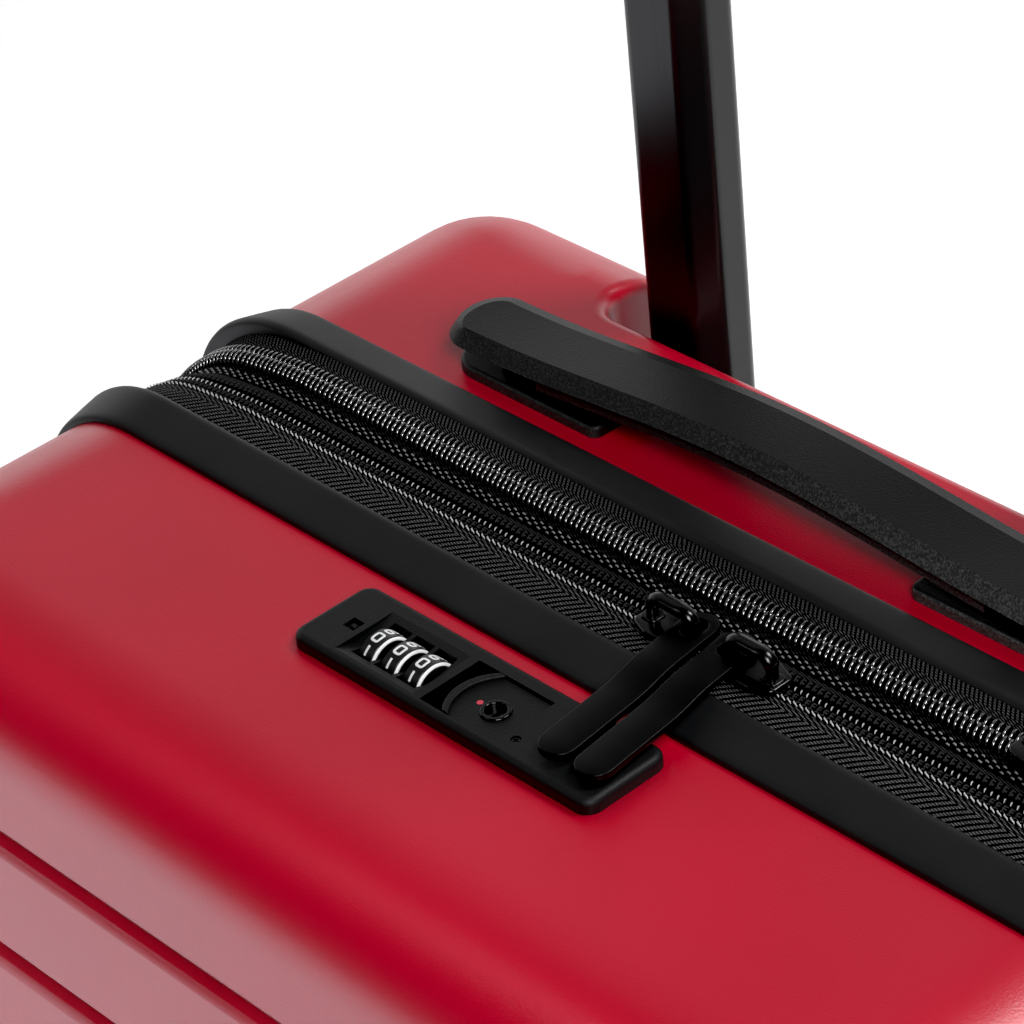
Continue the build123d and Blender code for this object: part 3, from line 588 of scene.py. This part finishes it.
TOP_F = [(-21.2, 3.2), (-20.0, 3.75), (-18.0, 4.02), (-16.0, 4.16), (-14.0, 4.18), (-12.2, 4.12), (-11.5, 4.02), (-10.4, 4.10), (-10.1, 4.30), (-9.75, 4.30), (-9.5, 4.0)]
TOP_B = [(-9.35, 4.0), (-9.1, 4.26), (-8.4, 4.36), (-7.8, 4.28), (-7.4, 4.05), (-5.8, 4.02), (-5.2, 3.95), (-4.8, 4.18), (-4.2, 4.38), (-3.2, 4.42), (-2.4, 4.22), (-1.6, 3.90), (-0.8, 3.56), (0.0, 3.25), (0.8, 3.02), (1.25, 2.85)]
TOP_XF = [(1.30, 2.85), (1.9, 3.0), (2.6, 3.3), (4.0, 3.45), (6.0, 3.5), (8.6, 3.5)]
TOP_XB = [(9.0, 3.5), (12.0, 3.5), (14.6, 3.5), (15.6, 3.55), (16.6, 3.7), (18.0, 3.85), (19.4, 3.9), (20.4, 3.75), (21.2, 3.3)]


def main_strip(name, top, material, body, node):
    o = ring(name, strip_profile(top), material, S_H1 - PERIM + 1.0, S_H0 - 1.0, sharp=70)
    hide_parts(node)
    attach(o, body)
    return o


main_strip("main_tape_front", TOP_F, M_TAPE_F, "front_half", "main_zip_front")
main_strip("main_tape_back", TOP_B, M_TAPE_B, "expander", "main_zip_back")
for name, top, body, node in (
    ("expander_tape_front", TOP_XF, "expander", "expander_zip_front"),
    ("expander_tape_back", TOP_XB, "back_half", "expander_zip_back"),
):
    o = ring(name, strip_profile(top), M_TAPE_X, sharp=70)
    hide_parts(node)
    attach(o, body)


def along(pitch, s0=0.0, s1=PERIM):
    n = int((s1 - s0) / pitch)
    return s0 + (np.arange(n) + 0.5) * (s1 - s0) / n


# large coil of the expansion zip: two rows of leaning loops whose heads mesh on the centre line
CP = 1.88
XZ = 9.25


def loop_path(side):
    pts = [(-0.05, 4.5), (-0.48, 5.0), (-0.38, 5.62), (0.15, 5.98), (1.00, 6.14), (2.00, 6.16), (2.95, 5.98), (3.65, 5.52), (4.00, 4.85), (4.03, 4.20), (3.75, 3.60)]
    return [(-0.31 * side * b, XZ + side * b, c) for b, c in pts]


LOOP_R = [0.24, 0.31, 0.36, 0.38, 0.39, 0.39, 0.39, 0.39, 0.38, 0.37, 0.36]
for side, body, name, shift in ((-1, "expander", "expander_coil_front", 0.5), (1, "back_half", "expander_coil_back", 0.0)):
    o = tubes(name, loop_path(side), LOOP_R, along(CP) + shift * CP, M_COIL, sides=8, sag=2.3)
    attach(o, body)

# sewn rows of the main zip
MAIN = along(1.90, S_H1 - PERIM + 2.0, S_H0 - 2.0)
o = tubes(
    "main_cord_front",
    [(-0.95, -9.95, 3.95), (-0.85, -10.25, 4.28), (-0.62, -10.58, 4.42), (-0.20, -10.84, 4.46), (0.30, -11.02, 4.44), (0.75, -11.16, 4.36), (1.0, -11.22, 3.95)],
    [0.08, 0.15, 0.20, 0.23, 0.23, 0.18, 0.08], MAIN, M_THREAD, sides=6, sag=sag_share(-10.9),
)
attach(o, "front_half")
o = tubes(
    "main_ticks_back",
    [(-0.30, -5.85, 3.85), (-0.24, -6.10, 4.24), (-0.06, -6.55, 4.36), (0.14, -7.00, 4.26), (0.22, -7.25, 3.85)],
    [0.08, 0.15, 0.19, 0.15, 0.08], MAIN, M_THREAD, sides=6, sag=sag_share(-6.6),
)
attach(o, "expander")
SEAM = along(3.17)
for i, y in enumerate((3.1, 2.3, 1.5)):
    n = float(np.interp(y, [t[0] for t in TOP_XF], [t[1] for t in TOP_XF]))
    o = tubes(
        "seam_dots_%d" % (i + 1),
        [(-0.58, y + 0.06, n - 0.15), (-0.42, y + 0.04, n + 0.10), (0.0, y, n + 0.18), (0.42, y - 0.04, n + 0.10), (0.58, y - 0.06, n - 0.15)],
        [0.10, 0.21, 0.25, 0.21, 0.10], SEAM - 1.42 * i, M_DOT, sides=6, sag=sag_share(y),
    )
    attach(o, "expander")

# cloth hinge between the front half and the expander, as a fixed strip
top = [(-21.0, 3.3), (-19.5, 3.85), (-16.0, 4.0), (-13.0, 4.0), (-11.0, 4.0), (-9.4, 4.0), (-7.8, 4.0), (-5.8, 4.0), (-3.0, 4.0), (-1.0, 3.7), (0.5, 3.2), (1.25, 2.85)]
o = ring("hinge_strip", strip_profile(top, 0.9), M_TAPE_F, S_H0, S_H1, sharp=70)
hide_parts("hinge_cloth")
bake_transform(o)

# gusset behind the expansion zip, stretches between the back half and the expander
prof = [(2.0 + i * 1.1, -2.75 - 0.25 * (i % 2), 1.3) for i in range(17)]
prof += [(y, n - 0.6, g) for y, n, g in reversed(prof)]
o = ring("gusset_cloth", prof, M_WEB, sharp=70)
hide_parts("expander_gusset")
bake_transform(o)


# ------------------------------------------------------------------ linings
def lining_mesh(name, node, sign, body):
    """The carried-over lining solid made into cloth: finer, with soft hollows between seams."""
    src = NODES[node]
    me = src.data.copy()
    o = bpy.data.objects.new(name, me)
    bpy.context.scene.collection.objects.link(o)
    bm = bmesh.new()
    bm.from_mesh(me)
    bmesh.ops.remove_doubles(bm, verts=bm.verts, dist=1e-5)
    for _ in range(5):
        long = [e for e in bm.edges if e.calc_length() > 0.022]
        if not long:
            break
        bmesh.ops.subdivide_edges(bm, edges=long, cuts=1, use_grid_fill=False)
        bmesh.ops.triangulate(bm, faces=[f for f in bm.faces if len(f.verts) > 3])
    bm.normal_update()
    for v in bm.verts:
        x, y, z = v.co
        puff = 0.0012 * math.sin(x * 52.0) * math.sin((z - 0.29) * 47.0) * math.cos(y * 40.0)
        fold = 0.0006 * math.sin(x * 21.0 + z * 33.0)
        inner = abs(y) < 0.117 and abs(y) > 0.036
        if inner:
            v.co -= Vector((0, sign * (puff + fold) * 0.5, 0)) if abs(v.normal.y) > 0.7 else v.normal * (fold * 0.4)
    bm.to_mesh(me)
    bm.free()
    me.materials.clear()
    me.materials.append(M_LINING)
    by_angle(o, 60)
    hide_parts(node)
    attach(o, body)
    return o


lining_mesh("front_lining_cloth", "front_lining", -1, "front_half")
lining_mesh("back_lining_cloth", "back_lining", 1, "back_half")


def strap(name, a, b, wide, y0, thick, material):
    """Flat webbing from a to b (x, z), with bound edges and a slight crown."""
    a, b = Vector((a[0], 0, a[1])), Vector((b[0], 0, b[1]))
    d = (b - a).normalized()
    side = Vector((-d.z, 0, d.x))
    count = max(4, int((b - a).length / 6))
    cross = [(-1.0, 0.35), (-0.97, 0.75), (-0.86, 0.92), (-0.8, 0.8), (-0.4, 0.97), (0, 1.0), (0.4, 0.97), (0.8, 0.8), (0.86, 0.92), (0.97, 0.75), (1.0, 0.35), (0.96, 0.0), (-0.96, 0.0)]
    verts, faces = [], []
    for i in range(count + 1):
        p = a.lerp(b, i / count)
        for u, h in cross:
            q = p + side * (u * wide / 2)
            verts.append((q.x * MM, (y0 - h * thick) * MM, q.z * MM))
    k = len(cross)
    for i in range(count):
        for q in range(k):
            r = (q + 1) % k
            faces.append((i * k + q, i * k + r, (i + 1) * k + r, (i + 1) * k + q))
    faces.append(tuple(range(k)))
    faces.append(tuple(count * k + q for q in range(k)))
    o = new_object(name, verts, faces, material)
    by_angle(o, 50)
    return o


first = None
for i, (sx, sz) in enumerate(((-1, -1), (-1, 1), (1, -1), (1, 1))):
    o = strap("packing_strap_%d" % (i + 1), (sx * 6.0, 290 + sz * 7.0), (sx * 128.0, 290 + sz * 150.0), 25.0, 75.2 - 0.01 * i, 1.5, M_WEB)
    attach(o, "back_half")
    if first is None:
        first = o
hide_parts("packing_straps")


# ------------------------------------------------------------------ dials: numerals and edge rings
DIAL_X = (-27.0, -19.15, -11.3)
DIAL_Y, DIAL_Z, DIAL_R = -55.5, 533.5, 6.9


def wrap(name, verts, faces, material, body):
    o = new_object(name, verts, faces, material, smooth=False)
    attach(o, body)
    return o


BOX = [(0, 0), (1, 0), (1, 1), (0, 1), (0, 0)]
STROKES = [
    [BOX], [[(0.5, 0), (0.5, 1)]], [[(0, 1), (1, 1), (1, 0.5), (0, 0.5), (0, 0), (1, 0)]], [[(0, 1), (1, 1), (1, 0), (0, 0)], [(0.3, 0.5), (1, 0.5)]],
    [[(0, 1), (0, 0.42), (1, 0.42)], [(0.85, 1), (0.85, 0)]], [[(1, 1), (0, 1), (0, 0.55), (1, 0.55), (1, 0), (0, 0)]],
    [[(1, 1), (0, 1), (0, 0), (1, 0), (1, 0.52), (0, 0.52)]], [[(0, 1), (1, 1), (0.4, 0)]], [BOX, [(0, 0.5), (1, 0.5)]],
    [[(1, 0.48), (0, 0.48), (0, 1), (1, 1), (1, 0), (0, 0)]],
]


def soft_path(pts, r):
    """Polyline with its corners rounded by r, in steps short enough to wrap round the dial."""
    closed = pts[0] == pts[-1]
    base = [Vector(q) for q in (pts[:-1] if closed else pts)]
    n = len(base)
    out = []
    for i, p in enumerate(base):
        if not closed and i in (0, n - 1):
            out.append(p)
            continue
        a, b = base[(i - 1) % n] - p, base[(i + 1) % n] - p
        d = min(r, a.length * 0.48, b.length * 0.48)
        a, b = p + a.normalized() * d, p + b.normalized() * d
        for k in range(6):
            t = k / 5
            out.append(a * (1 - t) ** 2 + p * 2 * t * (1 - t) + b * t ** 2)
    if closed:
        out.append(out[0])
    fine = [out[0]]
    for a, b in zip(out, out[1:]):
        k = max(1, int((b - a).length / 0.35))
        fine += [a.lerp(b, (q + 1) / k) for q in range(k)]
    return fine, closed


def digit_mesh(strokes, wide, tall, pen):
    """Raised numeral as low rounded strokes: (vertices, faces), x across, y up, z out."""
    verts, faces = [], []
    sect = [(math.cos(math.pi * k / 6), math.sin(math.pi * k / 6)) for k in range(7)] + [(-0.9, -0.6), (0.9, -0.6)]
    for stroke in strokes:
        path, closed = soft_path([((x - 0.5) * wide, (y - 0.5) * tall) for x, y in stroke], 0.62)
        if closed:
            path = path[:-1]
        n, k, base = len(path), len(sect), len(verts)
        for i, p in enumerate(path):
            a = path[(i - 1) % n] if closed or i else path[0]
            b = path[(i + 1) % n] if closed or i < n - 1 else path[-1]
            t = (b - a).normalized()
            for u, h in sect:
                verts.append((p.x - t.y * u * pen, p.y + t.x * u * pen, 0.09 * h))
        for i in range(n if closed else n - 1):
            j = (i + 1) % n
            for q in range(k):
                r = (q + 1) % k
                faces.append((base + i * k + q, base + i * k + r, base + j * k + r, base + j * k + q))
        if not closed:
            faces.append(tuple(base + q for q in range(k)))
            faces.append(tuple(base + (n - 1) * k + q for q in range(k)))
    return verts, faces


DIGITS = [digit_mesh(d, 2.05, 2.75, 0.36) for d in STROKES]
for i, x0 in enumerate(DIAL_X):
    verts, faces = [], []
    for d, (vs, fs) in enumerate(DIGITS):
        base = len(verts)
        for gx, gy, gz in vs:
            a = math.radians(6.0 + 36.0 * d) + gy / DIAL_R
            r = DIAL_R - 0.01 + gz
            verts.append(((x0 - gx - 0.25) * MM, (DIAL_Y - r * math.sin(a)) * MM, (DIAL_Z + r * math.cos(a)) * MM))
        faces += [tuple(base + q for q in f) for f in fs]
    wrap("dial_%d_numerals" % (i + 1), verts, faces, M_WHITE, "dial_%d" % (i + 1))
    # white ring on the right edge of the dial
    prof = [(2.40, 6.68), (2.80, 6.32), (2.86, 6.28), (2.86, 5.98), (2.80, 5.98), (2.75, 6.2), (2.36, 6.62)]
    verts, faces = [], []
    seg = 64
    for q in range(seg):
        a = 2 * math.pi * q / seg
        for px, pr in prof:
            pr += 0.05
            verts.append(((x0 + px) * MM, (DIAL_Y - pr * math.sin(a)) * MM, (DIAL_Z + pr * math.cos(a)) * MM))
    k = len(prof)
    for q in range(seg):
        for w in range(k):
            faces.append((q * k + w, q * k + (w + 1) % k, ((q + 1) % seg) * k + (w + 1) % k, ((q + 1) % seg) * k + w))
    o = wrap("dial_%d_ring" % (i + 1), verts, faces, M_WHITE, "dial_%d" % (i + 1))
    by_angle(o, 40)


# ------------------------------------------------------------------ sliders and pull tabs
def rounded(points, r, seg=5):
    """Outline with its corners rounded by r."""
    out = []
    n = len(points)
    for i in range(n):
        p0, p1, p2 = (Vector(points[(i + k - 1) % n]) for k in range(3))
        a, b = (p0 - p1).normalized(), (p2 - p1).normalized()
        half = a.angle(b) / 2
        d = min(r / math.tan(half), (p0 - p1).length * 0.49, (p2 - p1).length * 0.49)
        rr = d * math.tan(half)
        c = p1 + (a + b).normalized() * (rr / math.sin(half))
        q0, q1 = p1 + a * d - c, p1 + b * d - c
        ang = math.atan2(q0.x * q1.y - q0.y * q1.x, q0.dot(q1))
        for k in range(seg + 1):
            t = ang * k / seg
            out.append((c.x + q0.x * math.cos(t) - q0.y * math.sin(t), c.y + q0.x * math.sin(t) + q0.y * math.cos(t)))
    return out


def plate(outline, z0, z1, bevel, holes=(), seg=3):
    """Flat plate with rounded edges from an outline, as (vertices, faces) in millimetres."""
    cu = bpy.data.curves.new("plate", "CURVE")
    cu.dimensions = "2D"
    cu.fill_mode = "BOTH"
    cu.extrude = (z1 - z0) / 2 - bevel
    cu.bevel_depth = bevel
    cu.bevel_resolution = seg
    cu.offset = -bevel
    for pts in (outline, *holes):
        sp = cu.splines.new("POLY")
        sp.points.add(len(pts) - 1)
        for p, q in zip(sp.points, pts):
            p.co = (q[0], q[1], 0, 1)
        sp.use_cyclic_u = True
    ob = bpy.data.objects.new("plate", cu)
    bpy.context.scene.collection.objects.link(ob)
    bpy.context.view_layer.update()
    me = bpy.data.meshes.new_from_object(ob.evaluated_get(bpy.context.evaluated_depsgraph_get()))
    bpy.data.objects.remove(ob)
    bm = bmesh.new()
    bm.from_mesh(me)
    bmesh.ops.remove_doubles(bm, verts=bm.verts, dist=1e-4)
    bm.verts.index_update()
    verts = [(v.co.x, v.co.y, v.co.z + (z0 + z1) / 2) for v in bm.verts]
    faces = [tuple(v.index for v in f.verts) for f in bm.faces]
    bm.free()
    return verts, faces


def swept(path, sect, closed=False):
    """Section (u, v) with a size per station, swept along a path in the x-z plane, v across (y)."""
    verts, faces = [], []
    n = len(path)
    k = len(sect)
    for i, (x, z, su, sv) in enumerate(path):
        a, b = path[max(i - 1, 0)], path[min(i + 1, n - 1)]
        t = Vector((b[0] - a[0], b[1] - a[1])).normalized()
        nx, nz = -t.y, t.x
        for u, v in sect:
            verts.append((x + nx * u * su, v * sv, z + nz * u * su))
    for i in range(n - 1):
        for q in range(k):
            r = (q + 1) % k
            faces.append((i * k + q, i * k + r, (i + 1) * k + r, (i + 1) * k + q))
    faces.append(tuple(range(k)))
    faces.append(tuple((n - 1) * k + q for q in range(k)))
    return verts, faces


def join(*parts):
    verts, faces = [], []
    for vs, fs in parts:
        base = len(verts)
        verts += vs
        faces += [tuple(base + q for q in f) for f in fs]
    return verts, faces


def placed(part, x, y, z, turn=0.0):
    c, s = math.cos(math.radians(turn)), math.sin(math.radians(turn))
    return [((x + c * a - s * b) * MM, (y + s * a + c * b) * MM, (z + d) * MM) for a, b, d in part[0]], part[1]


OVAL = [(math.cos(2 * math.pi * i / 12), math.sin(2 * math.pi * i / 12)) for i in range(12)]


def slider_parts(width, n_low, n_top, flip):
    """Slider along x: shoulders at one end, narrow neck at the other, a top and a low plate joined by a web, bail on
    top.
    """
    w = width / 2
    f = -1 if flip else 1
    out = [(f * 10, w * 0.62), (f * 4, w), (f * -6, w), (f * -10, w * 0.80), (f * -10, -w * 0.80), (f * -6, -w), (f * 4, -w), (f * 10, -w * 0.62)]
    if flip:
        out = out[::-1]
    shape = rounded(out, 2.2)
    top = plate(shape, n_top, n_top + 1.9, 0.62)
    low = plate(shape, n_low - 1.4, n_low, 0.45)
    web = plate(rounded([(-5, -1.0), (5, -1.0), (5, 1.0), (-5, 1.0)], 0.9), n_low - 0.8, n_top + 0.4, 0.1, seg=1)
    pts = []
    for i in range(7):
        pts.append((-6.75, 0.6 + i * 0.75, 1.35, 1.75))
    for i in range(1, 9):
        a = math.pi - (math.pi / 2) * i / 9
        pts.append((-3.55 + 3.2 * math.cos(a), 5.1 + 3.0 * math.sin(a), 1.50, 2.10))
    for i in range(7):
        pts.append((-3.3 + 6.6 * i / 6, 8.1, 1.55, 2.35))
    for i in range(1, 9):
        a = math.pi / 2 - (math.pi / 2) * i / 9
        pts.append((3.55 + 3.2 * math.cos(a), 5.1 + 3.0 * math.sin(a), 1.50, 2.10))
    for i in range(7):
        pts.append((6.75, 5.1 - i * 0.75, 1.35, 1.75))
    bail = swept(pts, OVAL)
    bail = ([(x, y, z + n_top) for x, y, z in bail[0]], bail[1])
    # low humps that carry the two ends of the bail
    humps = []
    for hx in (-6.75, 6.75):
        humps.append(plate(rounded([(hx - 2.6, -2.6), (hx + 2.6, -2.6), (hx + 2.6, 2.6), (hx - 2.6, 2.6)], 1.6), n_top + 1.2, n_top + 2.35, 0.4))
    return join(top, low, web, bail, *humps)


def pull_part(length, drop):
    w, root = 10.0 / 2, 7.0
    pts = []
    arc = 14
    yc0, yc1 = root - w, -length + w
    for i in range(arc + 1):
        a = math.pi * i / arc
        pts.append((w * math.cos(a), yc0 + w * math.sin(a)))
    for i in range(1, 24):
        pts.append((-w, yc0 + (yc1 - yc0) * i / 24))
    for i in range(arc + 1):
        a = math.pi + math.pi * i / arc
        pts.append((w * math.cos(a), yc1 + w * math.sin(a)))
    for i in range(1, 24):
        pts.append((w, yc1 + (yc0 - yc1) * i / 24))
    hole = rounded([(-2.5, -3.2), (-2.5, 4.0), (2.5, 4.0), (2.5, -3.2)], 2.4, 6)
    verts, faces = plate(pts, 0.0, 1.9, 0.42, [hole], seg=3)
    out = []
    for x, y, z in verts:
        if drop:
            t = min(max((-y - 13.0) / (27.0 - 13.0), 0.0), 1.0)
            z -= drop * t * t * (3 - 2 * t)
        out.append((x, y, z))
    return out, faces


N_MAIN, N_EXP, ZIP_Y = 4.6, 7.4, -9.4
for side, leg, sx, flip in (("left", 31.6, 24.85, True), ("right", 43.4, 50.15, False)):
    v, f = placed(slider_parts(12.0, 0.6, N_MAIN, flip), sx, ZIP_Y, ZT)
    o = new_object("slider_%s_body" % side, v, f, M_SLIDER)
    by_angle(o, 40)
    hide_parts("slider_" + side)
    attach(o, "slider_" + side)
    v, f = placed(pull_part(54.0, 1.3), leg, ZIP_Y, ZT + N_MAIN + 2.5, 6.1)
    o = new_object("pull_%s_tab" % side, v, f, M_PULL)
    by_angle(o, 35)
    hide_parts("pull_" + side)
    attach(o, "pull_" + side)
v, f = placed(slider_parts(14.0, 2.2, N_EXP, False), 126.0, 9.0, ZT)
o = new_object("expander_slider_body", v, f, M_SLIDER)
by_angle(o, 40)
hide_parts("expander_slider")
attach(o, "expander_slider")
v, f = placed(pull_part(27.0, 0.0), 132.75, 9.0, ZT + N_EXP + 2.5, 180.0)
o = new_object("expander_pull_tab", v, f, M_PULL)
by_angle(o, 35)
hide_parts("expander_pull")
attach(o, "expander_pull")

# core under the cap of the carry handle
core_v, core_f = [], []
n_core = 41
for i in range(n_core):
    x = -76.0 + 152.0 * i / (n_core - 1)
    z = ZT + 13.6 + 6.4 * (1 + math.cos(math.pi * x / 102.25)) / 2 - 5.0
    for y, dz in ((42.0, 0.3), (42.0, -4.3), (42.6, -5.0), (60.4, -5.0), (61.0, -4.3), (61.0, 0.3)):
        core_v.append((x * MM, y * MM, (z + dz) * MM))
for i in range(n_core - 1):
    for q in range(6):
        r = (q + 1) % 6
        core_f.append((i * 6 + q, i * 6 + r, (i + 1) * 6 + r, (i + 1) * 6 + q))
core_f += [tuple(range(6)), tuple((n_core - 1) * 6 + q for q in range(6))]
o = new_object("handle_core", core_v, core_f, M_HANDLE)
by_angle(o, 30)
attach(o, "carry_handle")

# painted dot that marks the open place of the key
ringed = [(0.8 * math.cos(2 * math.pi * k / 20), 0.8 * math.sin(2 * math.pi * k / 20)) for k in range(20)]
dot_v = [((7.9 + x) * MM, (-56.2 + y) * MM, z * MM) for z in (538.10, 538.20) for x, y in ringed]
dot_f = [tuple(range(20)), tuple(range(20, 40))] + [(k, (k + 1) % 20, 20 + (k + 1) % 20, 20 + k) for k in range(20)]
o = new_object("lock_dot", dot_v, dot_f, M_REDDOT, smooth=False)
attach(o, "lock_slide")

# ------------------------------------------------------------------ floor, light, camera
floor_mesh = bpy.data.meshes.new("floor")
floor_mesh.from_pydata([(-30, -30, -0.0005), (30, -30, -0.0005), (30, 30, -0.0005), (-30, 30, -0.0005)], [], [(0, 1, 2, 3)])
floor = bpy.data.objects.new("floor", floor_mesh)
bpy.context.scene.collection.objects.link(floor)
m = Mat("floor_pale", (0.86, 0.86, 0.86), 0.7, spec=0.2)
far = m.node("ShaderNodeSeparateXYZ")
m.put(far.inputs[0], m.place())
pale = m.mix(m.noise(3.0, 2.0), (0.90, 0.90, 0.90), (0.93, 0.93, 0.93))
m.colour(m.mix(m.band(far.outputs[1], -1.45, -0.80), (0.06, 0.06, 0.06), pale))
m.put(m.b.inputs["Emission Color"], m.mix(m.band(far.outputs[1], -1.45, -0.80), (0.0, 0.0, 0.0), (1.0, 1.0, 1.0)))
m.set("Emission Strength", 0.53)
floor_mesh.materials.append(m.m)

# white backdrop behind the case, fading upwards, with a dark studio above and in front
world = bpy.data.worlds.new("studio")
bpy.context.scene.world = world
world.use_nodes = True
wt = world.node_tree
bg = next(n for n in wt.nodes if n.type == "BACKGROUND")


def wnode(kind, *values, **props):
    n = wt.nodes.new(kind)
    for k, v in props.items():
        setattr(n, k, v)
    for i, v in enumerate(values):
        if isinstance(v, bpy.types.NodeSocket):
            wt.links.new(v, n.inputs[i])
        elif v is not None:
            n.inputs[i].default_value = v
    return n.outputs[0]


sky = wt.nodes.new("ShaderNodeTexCoord").outputs["Generated"]
axes = wt.nodes.new("ShaderNodeSeparateXYZ")
wt.links.new(sky, axes.inputs[0])
behind = wt.nodes.new("ShaderNodeVectorMath")
behind.operation = "DOT_PRODUCT"
wt.links.new(sky, behind.inputs[0])
behind.inputs[1].default_value = (-0.77, 0.64, 0.0)
wall = wnode("ShaderNodeMapRange", behind.outputs["Value"], 0.26, 0.62, 0.0, 1.0, interpolation_type="SMOOTHSTEP")
low = wnode("ShaderNodeMapRange", axes.outputs[2], 0.26, 0.57, 1.0, 0.30, interpolation_type="SMOOTHSTEP")
skyline = wnode("ShaderNodeMapRange", axes.outputs[2], -0.50, -0.02, 0.57, 0.003, interpolation_type="SMOOTHSTEP")
near = wnode("ShaderNodeMapRange", axes.outputs[2], 0.06, 0.30, 0.5, 0.0, interpolation_type="SMOOTHSTEP")
low = wnode("ShaderNodeMath", low, near, operation="ADD")
glow = wnode("ShaderNodeMath", wall, low, operation="MULTIPLY")
glow = wnode("ShaderNodeMath", glow, skyline, operation="MAXIMUM")
seen = wt.nodes.new("ShaderNodeLightPath").outputs["Is Camera Ray"]
strength = wnode("ShaderNodeMath", glow, seen, operation="MAXIMUM")
# the floor throws back a slightly cool white
cool = wnode("ShaderNodeMapRange", axes.outputs[2], -0.30, 0.0, 1.0, 0.0)
cool = wnode("ShaderNodeMath", cool, wnode("ShaderNodeMath", 1.0, seen, operation="SUBTRACT"), operation="MULTIPLY")
shade = wt.nodes.new("ShaderNodeMix")
shade.data_type = "RGBA"
wt.links.new(cool, shade.inputs["Factor"])
tones = [i for i in shade.inputs if i.type == "RGBA"]
tones[0].default_value = (1.0, 1.0, 1.0, 1.0)
tones[1].default_value = (0.97, 0.98, 1.20, 1.0)
wt.links.new([o for o in shade.outputs if o.type == "RGBA"][0], bg.inputs["Color"])
wt.links.new(strength, bg.inputs["Strength"])


def softbox(name, pos, target, size_x, size_y, power):
    li = bpy.data.lights.new(name, "AREA")
    li.shape = "RECTANGLE"
    li.size, li.size_y = size_x, size_y
    li.energy = power
    o = bpy.data.objects.new(name, li)
    bpy.context.scene.collection.objects.link(o)
    o.location = pos
    o.rotation_euler = (Vector(target) - Vector(pos)).to_track_quat("-Z", "Y").to_euler()
    return o


softbox("back_right", (0.9, 1.2, 2.6), (0, 0, 0.5), 0.9, 0.9, 38)
softbox("front_right", (1.70, -0.90, 2.20), (0, 0, 0.45), 1.0, 1.0, 49)
softbox("front_left", (-1.10, -1.60, 2.35), (0, -0.1, 0.53), 0.8, 0.8, 3.4)
softbox("floor_card", (-0.60, -0.53, 0.02), (-0.60, -0.5299, 1.0), 1.3, 0.86, 1.1).data.color = (0.95, 0.96, 1.22)

right = Vector((0.68439, 0.72380, -0.08787))
down = Vector((0.36138, -0.44141, -0.82132))
ahead = Vector((-0.63327, 0.53034, -0.56366))
cam_data = bpy.data.cameras.new("camera")
cam_data.sensor_width = 36.0
cam_data.sensor_fit = "HORIZONTAL"
cam_data.lens = 36.0 * 3900.0 / 1024.0
cam_data.clip_start = 0.01
cam_data.clip_end = 100.0
cam = bpy.data.objects.new("camera", cam_data)
bpy.context.scene.collection.objects.link(cam)
rot = Matrix((right, -down, -ahead)).transposed().to_4x4()
cam.matrix_world = Matrix.Translation((0.567887, -0.5095, 1.081766)) @ rot
bpy.context.scene.camera = cam
bpy.context.scene.view_settings.view_transform = "Standard"
bpy.context.scene.view_settings.look = "None"
bpy.context.scene.view_settings.use_curve_mapping = True
bpy.context.scene.view_settings.curve_mapping.black_level = (0.005, 0.005, 0.005)
bpy.context.scene.view_settings.curve_mapping.update()
